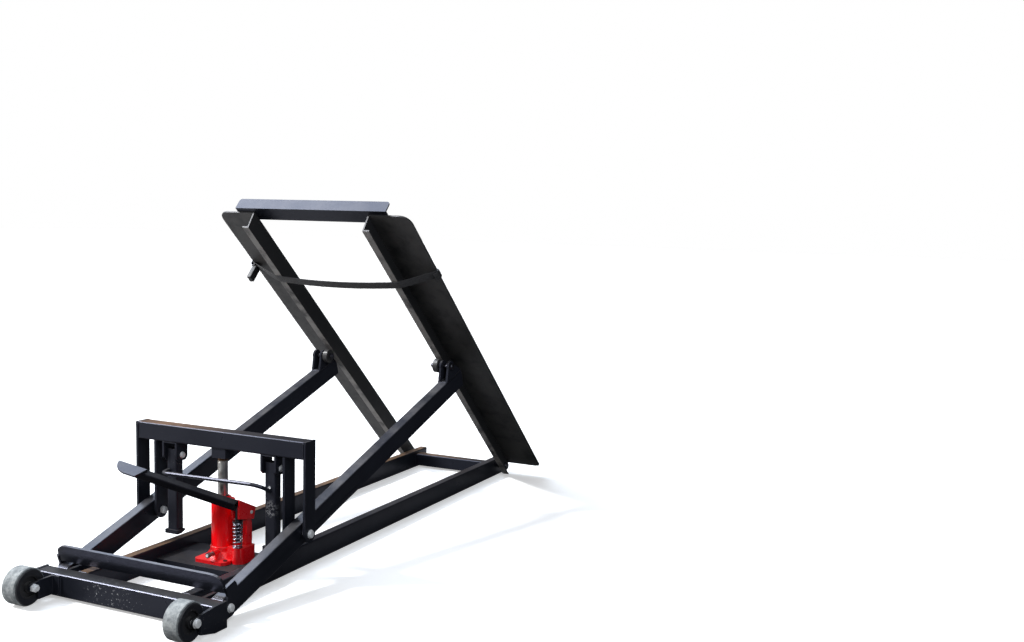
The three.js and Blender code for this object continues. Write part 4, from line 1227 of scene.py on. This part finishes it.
@dataclass(frozen=True)
class Welds:
    """The weld beads between the tubes and plates, each set in the axes of its part."""

    base: tuple[Seam, ...] = (
        Seam("plate_front", (-0.2, 246.6, 10), (-0.2, 246.6, 54)),
        Seam("tab_inner", (-0.2, 172.8, 14), (-0.2, 172.8, 52)),
        Seam("ear_outer", (38.4, 195.2, 10), (38.4, 195.2, 54)),
        Seam("ear_inner", (38.4, 185.8, 10), (38.4, 185.8, 54)),
        Seam("rail_outer", (38.4, 159.2, 8), (38.4, 159.2, 52)),
        Seam("rail_inner", (38.4, 132.8, 8), (38.4, 132.8, 52)),
        Seam("plate_top", (4, 246.6, 57), (34, 246.6, 57)),
        Seam("rail_top", (38.4, 135, 56), (38.4, 157, 56)),
        Seam("tab_top", (-1, 175, 54), (-1, 188, 54)),
    )
    lift_frame: tuple[Seam, ...] = (
        Seam("leg_front", (FRAME_X - 20.2, 244.2, 305), (FRAME_X - 20.2, 244.2, 337)),
        Seam("leg_back", (FRAME_X + 20.2, 244.2, 305), (FRAME_X + 20.2, 244.2, 337)),
        Seam("leg_in", (FRAME_X - 17.2, 187.3, 299.8), (FRAME_X + 17.2, 187.3, 299.8), 1.8),
        Seam("leg_out", (FRAME_X - 17.2, 193.7, 299.8), (FRAME_X + 17.2, 193.7, 299.8), 1.8),
        Seam("fork_in", (FRAME_X - 17.2, 123.8, 299.8), (FRAME_X + 17.2, 123.8, 299.8), 1.8),
        Seam("fork_out", (FRAME_X - 17.2, 168.2, 299.8), (FRAME_X + 17.2, 168.2, 299.8), 1.8),
    )
    arms: tuple[Seam, ...] = (
        Seam("tie_back", (8.4, 232.4, 35), (8.4, 232.4, 48), 2.4),
        Seam("tie_front", (1.8, 232.4, 35), (1.8, 232.4, 48)),
        Seam("lug", (8, 233.4, 24.6), (35, 233.4, 24.6)),
        Seam("tip_out", (1044, 233, 25.4), (1128, 233, 25.4)),
        Seam("tip_in", (1044, 203, 25.4), (1128, 203, 25.4)),
        Seam("tip_front", (1042.4, 205, 26), (1042.4, 231, 26)),
    )
    saddle: tuple[Seam, ...] = (
        Seam("saddle_front", (FRAME_X - 17.2, -19, 299.8), (FRAME_X - 17.2, 19, 299.8)),
        Seam("saddle_back", (FRAME_X + 17.2, -19, 299.8), (FRAME_X + 17.2, 19, 299.8)),
    )

    def build(self) -> list[Piece]:
        """Models every bead.

        Returns:
            The pieces.
        """
        made: list[Piece] = []
        for side, sign in SIDES:
            made += [seam.build(f"_{side}", sign, LIFT_AXES, Body.BASE) for seam in self.base]
            made += [seam.build(f"_{side}", sign, LIFT_AXES, Body.FRAME) for seam in self.lift_frame]
            made += [seam.build(f"_{side}", sign, ARM_AXES, Body.ARMS) for seam in self.arms]
        made += [seam.build("", 1, LIFT_AXES, Body.FRAME) for seam in self.saddle]
        return made


@dataclass
class TubeCap:
    """A pressed plug that closes the open end of a box tube."""

    name: str
    centre: Vector
    width: float
    height: float
    turn: Matrix
    body: Body
    axes: Matrix = field(default_factory=lambda: Matrix.Identity(4))
    depth: float = 6.0

    def build(self) -> Piece:
        """Models the plug, with a shallow dish in its face.

        Returns:
            The piece.
        """
        plug = block(self.name, (self.width, self.height, self.depth), (0, 0, -self.depth / 2))
        inset_top(plug, 0.0025, -0.0006)
        soften(plug, 0.0006, 2, 20.0)
        smooth(plug)
        settle(plug, self.axes @ Matrix.Translation(self.centre) @ self.turn)
        return Piece(plug, "black_coat", self.body, Slot.BLACK)


@dataclass(frozen=True)
class Caps:
    """The plugs in the open tube ends, each 1 mm narrower and lower than its tube."""

    rail: tuple[float, float] = (25, 55)
    arm: tuple[float, float] = (29, 51)
    lever: tuple[float, float] = (18, 21)

    ALONG_X = Matrix.Rotation(math.pi / 2, 4, "Y") @ Matrix.Rotation(math.pi / 2, 4, "Z")
    ALONG_Y = Matrix.Rotation(-math.pi / 2, 4, "X")

    def build(self) -> list[Piece]:
        """Models every plug.

        Returns:
            The pieces.
        """
        made: list[TubeCap] = []
        for side, sign in SIDES:
            rail_end = lift_point(1607.8, sign * 146, 28)
            arm_end = Vector((1.1358, sign * 0.218, 0.0))
            made += [
                TubeCap(f"rail_cap_{side}", rail_end, *self.rail, self.ALONG_X, Body.BASE),
                TubeCap(f"arm_cap_{side}", arm_end, *self.arm, self.ALONG_X, Body.ARMS, ARM_AXES),
            ]
        lever_end = Vector((0, 0.3008, 0))
        made.append(TubeCap("lever_cap", lever_end, *self.lever, self.ALONG_Y, Body.LEVER, LEVER_AXES))
        return [cap.build() for cap in made]


def rounded_path(corners: Profile, passes: int = 3) -> list[tuple[float, float]]:
    """Rounds the corners of an open path by cutting them again and again.

    Args:
        corners: The path's corners.
        passes: How often the corners are cut.

    Returns:
        The rounder path, with the same ends.
    """
    path = list(corners)
    for _ in range(passes):
        cut = [path[0]]
        for (ax, ay), (bx, by) in zip(path, path[1:]):
            cut += [(ax + (bx - ax) * share, ay + (by - ay) * share) for share in (0.25, 0.75)]
        path = [*cut, path[-1]]
    return path


@dataclass
class Ribbon:
    """A flat band of even width, bent along a path that lies in one plane."""

    name: str
    path: Profile
    width: float
    thickness: float
    rows: int = 4

    def shape(self, axes: Matrix) -> bpy.types.Object:
        """Models the band: a grid laid along the path, then given its thickness.

        Args:
            axes: From the band's axes to the frame. The path runs in Y and Z, the width along X.

        Returns:
            The band, with a UV map in metres named weave.
        """
        steps = len(self.path) - 1
        band = add(bpy.ops.mesh.primitive_grid_add, self.name, x_subdivisions=steps, y_subdivisions=self.rows,
                   size=1.0, calc_uvs=True)
        lengths = [0.0]
        for (ay, az), (by, bz) in zip(self.path, self.path[1:]):
            lengths.append(lengths[-1] + math.hypot(by - ay, bz - az))
        for vertex in band.data.vertices:
            y, z = self.path[round((vertex.co.x + 0.5) * steps)]
            vertex.co = (vertex.co.y * self.width / 1000, y / 1000, z / 1000)
        layer = band.data.uv_layers.active
        layer.name = "weave"
        for item in layer.data:
            along = item.uv.x * steps
            low = min(int(along), steps - 1)
            reach = lengths[low] + (lengths[low + 1] - lengths[low]) * (along - low)
            item.uv = (reach / 1000, item.uv.y * self.width / 1000)
        solid = band.modifiers.new("thickness", "SOLIDIFY")
        solid.thickness = self.thickness / 1000
        solid.offset = 0.0
        bpy.ops.object.modifier_apply(modifier=solid.name)
        soften(band, self.thickness * 0.22 / 1000, 2, 50.0)
        smooth(band, 40.0)
        settle(band, axes)
        return band


@dataclass(frozen=True)
class Strap:
    """The webbing strap under the beams, its two hooks and its buckle.

    Heights count from the hinge plane, and at is how far up the platform the strap lies.
    """

    at: float = 996.0
    edge: float = 299.0
    ramp_top: float = 23.2
    ramp_under: float = 19.2
    lip: float = 198.0
    lip_under: float = -26.8
    sag: float = 10.0
    samples: int = 16
    thickness: float = 2.2
    width: float = 25.0
    hook_plate: float = 2.4

    def axes(self) -> Matrix:
        """Gives the strap's own axes on the platform.

        Returns:
            The matrix to the frame.
        """
        return PLATFORM_AXES @ Matrix.Translation((-self.at / 1000, 0, 0))

    def line(self) -> Profile:
        """Works out the band's path from one ramp edge to the other.

        Returns:
            Places across and above the hinge plane, in millimetres.
        """
        away = self.thickness / 2 + 0.5
        low = self.lip_under - away
        inner = self.lip - 8
        half = [(self.edge + away, self.ramp_top - 1), (self.edge + away, self.ramp_under - away),
                (self.lip + away, low + 1.0), (inner, low)]
        shares = [1 - 2 * step / self.samples for step in range(1, self.samples)]
        middle = [(inner * share, low - self.sag * (1 - share * share)) for share in shares]
        return rounded_path([*half, *middle, *((-y, z) for y, z in reversed(half))], 2)

    def hook(self, side: str, sign: int) -> Piece:
        """Models the flat steel hook over a ramp's edge.

        Args:
            side: The side's name.
            sign: 1 on the left and -1 on the right.

        Returns:
            The piece.
        """
        away = self.hook_plate / 2 + 0.3
        top = self.ramp_top + away
        outer = self.edge + away
        corners = (
            (self.edge - 14, top), (self.edge - 2, top), (outer + 2.2, top), (outer + 2.6, self.ramp_under),
            (outer + 2.4, self.ramp_under - 9), (self.edge - 5, self.ramp_under - 15),
        )
        path = rounded_path([(sign * y, z) for y, z in corners])
        shape = Ribbon(f"strap_hook_{side}", path, self.width + 3, self.hook_plate).shape(self.axes())
        return Piece(shape, "hook_steel", Body.PLATFORM, Slot.ZINC)

    def buckle(self) -> Piece:
        """Models the buckle that hangs from the left hook: a case, a lever plate and a bar.

        Returns:
            The piece.
        """
        parts = [
            block("case", (22, 13, 44), (0, 288, -15)),
            block("latch", (16, 5, 34), (0, 296, -13)),
            block("bar", (30, 6, 6), (0, 289, 8)),
        ]
        for part in parts:
            soften(part, 0.0018, 3, 30.0)
        shape = join("strap_buckle", parts)
        smooth(shape)
        settle(shape, self.axes())
        return Piece(shape, "hub_plastic", Body.PLATFORM, Slot.WEBBING)

    def build(self) -> list[Piece]:
        """Models the strap and what is on it.

        Returns:
            The pieces.
        """
        band = Ribbon("strap_band", self.line(), self.width, self.thickness).shape(self.axes())
        hooks = [self.hook(side, sign) for side, sign in SIDES]
        return [Piece(band, "strap_weave", Body.PLATFORM, Slot.WEBBING, ("strap",)), *hooks, self.buckle()]


@dataclass(frozen=True)
class JackDetail:
    """The wound spring, the seal, the cap's lip and the screws of the bottle jack."""

    axis: tuple[float, float] = (340.0, 0.0)
    pump: tuple[float, float] = (318.0, -60.0)
    spring_low: float = 70.2
    spring_high: float = 129.3
    spring_radius: float = 10.3
    spring_turns: int = 7
    wire: float = 1.7

    def spring(self) -> Piece:
        """Winds the pump spring with a screw modifier, and closes both ends with a flat turn.

        Returns:
            The piece.
        """
        around, section = 32, 12
        rise = (self.spring_high - self.spring_low) / 1000
        wire = add(bpy.ops.mesh.primitive_circle_add, "coil", vertices=section, radius=self.wire / 1000,
                   location=(self.spring_radius / 1000, 0, 0), rotation=(math.pi / 2, 0, 0))
        activate(wire)
        bpy.ops.object.transform_apply(location=True, rotation=True, scale=True)
        wind = wire.modifiers.new("wind", "SCREW")
        wind.axis = "Z"
        wind.screw_offset = rise / self.spring_turns
        wind.iterations = self.spring_turns
        wind.steps = around
        wind.render_steps = around
        bpy.ops.object.modifier_apply(modifier=wind.name)
        ends = [hoop("end_turn", self.spring_radius, self.wire, (around, section), height)
                for height in (0.0, rise)]
        coil = join("pump_spring_wound", [wire, *ends])
        smooth(coil, 70.0)
        settle(coil, Matrix.Translation(lift_point(*self.pump, self.spring_low)))
        return Piece(coil, "spring_wire", Body.BASE, Slot.SPRING, ("pump_spring",))

    def ring(self, name: str, radius: float, wire: float, height: float, finish: str, slot: Slot) -> Piece:
        """Models a ring about the jack's axis.

        Args:
            name: The ring's name.
            radius: Its middle radius in millimetres.
            wire: Half its thickness.
            height: Its height above the ground.
            finish: Its finish.
            slot: Its material slot.

        Returns:
            The piece.
        """
        made = hoop(name, radius, wire, (48, 10))
        smooth(made, 70.0)
        settle(made, Matrix.Translation(lift_point(*self.axis, height)))
        return Piece(made, finish, Body.BASE, slot)

    def screw(self, name: str, place: Vector, turn: Matrix, size: float, body: Body, finish: str) -> Piece:
        """Models a round screw head with a sunk middle, which points along its own Z.

        Args:
            name: The screw's name.
            place: Where its seat is.
            turn: Which way it points.
            size: The head's radius in millimetres.
            body: The body that carries it.
            finish: Its finish.

        Returns:
            The piece.
        """
        height = size * 0.55
        head = rod(name, 24, size, height)
        inset_top(head, size * 0.45 / 1000, -height * 0.45 / 1000)
        soften(head, height * 0.25 / 1000, 2, 40.0)
        smooth(head)
        settle(head, Matrix.Translation(place) @ turn)
        return Piece(head, finish, body, Slot.ZINC)

    def build(self) -> list[Piece]:
        """Models all of the jack's small parts.

        Returns:
            The pieces.
        """
        upright = Matrix.Identity(4)
        forward = Matrix.Rotation(-math.pi / 2, 4, "Y")
        rod_screw = lift_point(FRAME_X - 12.2, -145, 222)
        return [
            self.spring(),
            self.ring("cap_lip", 27.7, 1.0, 172.0, "red_enamel", Slot.RED),
            self.ring("ram_seal", 13.2, 1.0, 183.0, "hub_plastic", Slot.RUBBER),
            self.ring("reservoir_foot", 28.7, 1.6, 61.0, "red_casting", Slot.RED),
            self.screw("base_screw_front", lift_point(297, -40, 38), upright, 5.0, Body.BASE, "dark_steel"),
            self.screw("base_screw_back", lift_point(375, 34, 38), upright, 5.0, Body.BASE, "dark_steel"),
            self.screw("rod_screw", rod_screw, forward, 3.6, Body.CATCH, "zinc_plate"),
            self.screw("valve_centre", lift_point(274, -6, 52), forward, 3.4, Body.VALVE, "zinc_plate"),
        ]


@dataclass(frozen=True)
class Lamp:
    """A large soft lamp: its place and aim and its width in metres, and its power in watts."""

    name: str
    place: Point
    aim: Point
    width: float
    power: float
    colour: Colour

    def hang(self) -> None:
        """Adds the lamp to the scene."""
        data = bpy.data.lights.new(self.name, "AREA")
        data.shape = "SQUARE"
        data.size = self.width
        data.energy = self.power
        data.color = self.colour
        lamp = bpy.data.objects.new(self.name, data)
        bpy.context.collection.objects.link(lamp)
        lamp.location = self.place
        lamp.rotation_euler = (Vector(self.aim) - Vector(self.place)).to_track_quat("-Z", "Y").to_euler()


class Studio:
    """Camera, floor, lights and background."""

    SENSOR = 36.0
    LENS = 38.806
    SHIFT = (0.0054, 0.0186)
    EYE: Point = (-2.4997, -1.6833, 0.8656)
    VIEW_AXES = ((0.41520, -0.90939, 0.02479), (0.09093, 0.06860, 0.99349), (-0.90517, -0.41025, 0.11117))
    FLOOR_SIZE = 60.0
    FLOOR_DROP = 0.0004
    FLOOR_GLOW = 0.42
    FLOOR_SEEN: Colour = (0.8, 0.8, 0.8)
    GROUND: Colour = (0.28, 0.275, 0.27)
    GROUND_SHADE: Colour = (0.04, 0.04, 0.042)
    SKY_LOW: Colour = (0.9, 0.72, 0.58)
    SKY_HIGH: Colour = (0.78, 0.86, 1.0)
    SKY_STRENGTH = 0.12
    SKY_RISE = 0.25
    RIGHT_SHARE = 0.07
    SUN_TOWARDS: Point = (-0.36, 0.62, 0.7)
    SUN_STRENGTH = 3.8
    SUN_SPREAD = math.radians(6.0)
    LAMPS = (
        Lamp("window", (-1.6, 3.4, 1.3), (-0.3, 0.0, 0.25), 1.6, 60.0, (1.0, 0.98, 0.95)),
        Lamp("sky_panel", (0.3, 2.5, 3.9), (-0.4, 0.0, 0.3), 3.2, 200.0, (0.8, 0.89, 1.0)),
        Lamp("open_shade", (-2.4, -2.8, 2.6), (-0.3, 0.0, 0.3), 2.4, 75.0, (0.9, 0.95, 1.0)),
    )

    def camera(self) -> None:
        """Places the camera where the photograph was taken."""
        data = bpy.data.cameras.new("photo_camera")
        data.sensor_fit = "HORIZONTAL"
        data.sensor_width = self.SENSOR
        data.lens = self.LENS
        data.shift_x, data.shift_y = self.SHIFT
        data.dof.use_dof = False
        data.clip_end = 100.0
        view = bpy.data.objects.new("photo_camera", data)
        bpy.context.collection.objects.link(view)
        view.matrix_world = Matrix.Translation(self.EYE) @ Matrix(self.VIEW_AXES).transposed().to_4x4()
        bpy.context.scene.camera = view

    def floor(self) -> None:
        """Lays a floor that shows pale to the camera but throws little light back."""
        ground = add(bpy.ops.mesh.primitive_plane_add, "floor", size=self.FLOOR_SIZE,
                     location=(0, 0, -self.FLOOR_DROP))
        material = bpy.data.materials.new("pale_floor")
        material.use_nodes = True
        material.node_tree.nodes.clear()
        graph = Graph(material.node_tree)
        seen = graph.node("ShaderNodeLightPath").outputs["Is Camera Ray"]
        left = graph.ramp(graph.axis(graph.surface(), "Y"), -0.4, 0.0)
        bounce = graph.mix(left, self.GROUND_SHADE, self.GROUND)
        matt = graph.node("ShaderNodeBsdfDiffuse", {"Color": graph.mix(seen, bounce, self.FLOOR_SEEN)})
        lift = graph.times(seen, self.FLOOR_GLOW)
        glow = graph.node("ShaderNodeEmission", {"Color": WHITE, "Strength": lift})
        both = graph.node("ShaderNodeAddShader", {0: matt.outputs[0], 1: glow.outputs[0]})
        graph.node("ShaderNodeOutputMaterial", {0: both.outputs[0]})
        ground.data.materials.append(material)

    def background(self) -> None:
        """Shows plain white to the camera and a soft sky, weaker on the right, to everything else."""
        world = bpy.data.worlds.new("studio")
        world.use_nodes = True
        bpy.context.scene.world = world
        world.node_tree.nodes.clear()
        graph = Graph(world.node_tree)
        seen = graph.node("ShaderNodeLightPath").outputs["Is Camera Ray"]
        direction = graph.surface("Generated")
        high = graph.ramp(graph.axis(direction, "Z"), 0.05, 0.75)
        left = graph.ramp(graph.axis(direction, "Y"), -0.55, 0.35)
        strength = graph.times(graph.plus(graph.times(high, self.SKY_RISE), self.SKY_STRENGTH),
                               graph.plus(graph.times(left, 1 - self.RIGHT_SHARE), self.RIGHT_SHARE))
        tint = graph.mix(high, self.SKY_LOW, self.SKY_HIGH)
        sky = graph.node("ShaderNodeBackground", {"Color": tint, "Strength": strength}).outputs[0]
        white = graph.node("ShaderNodeBackground", {"Color": WHITE, "Strength": 1.0}).outputs[0]
        mix = graph.node("ShaderNodeMixShader", {0: seen, 1: sky, 2: white}).outputs[0]
        graph.node("ShaderNodeOutputWorld", {0: mix})

    def sun(self) -> None:
        """Adds a broad distant lamp that lights the whole floor evenly."""
        data = bpy.data.lights.new("daylight", "SUN")
        data.energy = self.SUN_STRENGTH
        data.angle = self.SUN_SPREAD
        lamp = bpy.data.objects.new("daylight", data)
        bpy.context.collection.objects.link(lamp)
        lamp.rotation_euler = Vector(self.SUN_TOWARDS).to_track_quat("Z", "Y").to_euler()

    def light(self) -> None:
        """Lights the lift from the left and from above, with a weak lamp for its shaded side."""
        self.sun()
        for lamp in self.LAMPS:
            lamp.hang()

    def colours(self) -> None:
        """Keeps colours plain, as a photograph's file has them."""
        bpy.context.scene.view_settings.view_transform = "Standard"
        bpy.context.scene.view_settings.look = "None"


class MowerLift:
    """The whole lift: finishes on the CAD nodes and all added pieces."""

    # Each finish, with the starts of the node names that have it; the longest start counts.
    FINISHES: dict[str, tuple[str, ...]] = {
        "black_coat_arm": ("lift_arm",),
        "black_coat_rails": ("base_rail", "rear_cross_tube"),
        "black_coat_bar": ("frame_bar",),
        "black_coat_cross": ("front_cross_tube", "end_plate", "pivot_ear"),
        "black_coat_tray": ("jack_tray",),
        "black_coat_beam": ("platform_beam",),
        "black_coat_lever": ("pedal_lever",),
        "black_coat_strut": ("safety_strut",),
        "red_casting": ("jack_base", "handle_socket"),
        "red_enamel": ("jack_reservoir", "jack_cap"),
        "zinc_plate": (
            "jack_cylinder", "fulcrum_pin", "axle_bolt", "arm_pivot_bolt", "frame_pivot_bolt", "strut_bolt"),
        "polished_ram": ("jack_ram",),
        # On the pump plunger this dark steel is partly painted shade, for the dark inside of the spring.
        "dark_steel": ("pump_plunger", "hinge_pin", "tip_roller_bolt"),
        "spring_wire": ("pump_spring",),
        "hook_steel": ("release_valve",),
        "tyre_left": ("wheel_tyre_left",),
        "tyre_right": ("wheel_tyre_right",),
        "hub_plastic": ("wheel_hub",),
        "roller_nylon": ("tip_roller_left", "tip_roller_right"),
        "strap_weave": ("strap",),
    }
    # The starts of the names of round nodes, which keep their edges.
    ROUND: tuple[str, ...] = (
        "wheel_tyre", "wheel_hub", "jack_ram", "jack_reservoir", "jack_cap", "jack_cylinder", "release_rod",
        "tip_roller_left", "tip_roller_right", "pump_spring",
    )

    def __init__(self) -> None:
        """Makes the finishes."""
        self.palette = Palette()

    def finish_of(self, name: str) -> str:
        """Looks up a CAD node's finish.

        Args:
            name: The node's name.

        Returns:
            The finish, plain black coat where the table has none.
        """
        found = [(len(start), finish) for finish, starts in self.FINISHES.items()
                 for start in starts if name.startswith(start)]
        return max(found)[1] if found else "black_coat"

    def dress_nodes(self) -> None:
        """Gives every CAD node its finish, and soft edges unless it is round."""
        for name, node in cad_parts.items():
            self.palette.paint(node, self.finish_of(name))
            if not name.startswith(self.ROUND):
                self.soften_node(node)

    def soften_node(self, node: bpy.types.Object) -> None:
        """Adds rounding to a CAD node with modifiers only.

        Args:
            node: Its object.
        """
        merge = node.modifiers.new("merge_flats", "DECIMATE")
        merge.decimate_type = "DISSOLVE"
        merge.angle_limit = math.radians(1.0)
        bevel = node.modifiers.new("soft_edges", "BEVEL")
        bevel.width = 0.0012
        bevel.segments = 2
        bevel.limit_method = "ANGLE"
        bevel.angle_limit = math.radians(38.0)
        bevel.harden_normals = False

    def build(self) -> list[Piece]:
        """Builds all pieces and places them.

        Returns:
            The pieces.
        """
        self.dress_nodes()
        jack = JackDetail()
        groups = (Hardware(), Welds(), Caps(), Strap(), jack)
        pieces = [piece for group in groups for piece in group.build()]
        placed = {piece.shape.name: piece.place(self.palette) for piece in pieces}
        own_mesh(placed["pump_spring_wound"])
        return pieces


def main() -> None:
    """Builds the scene and notes each placed piece and its body."""
    logging.basicConfig(level=logging.INFO)
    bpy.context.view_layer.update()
    studio = Studio()
    studio.camera()
    studio.colours()
    studio.background()
    studio.light()
    studio.floor()
    for piece in MowerLift().build():
        log.info("placed %s on %s", piece.shape.name, piece.body.value)


if __name__ == "__main__":
    main()
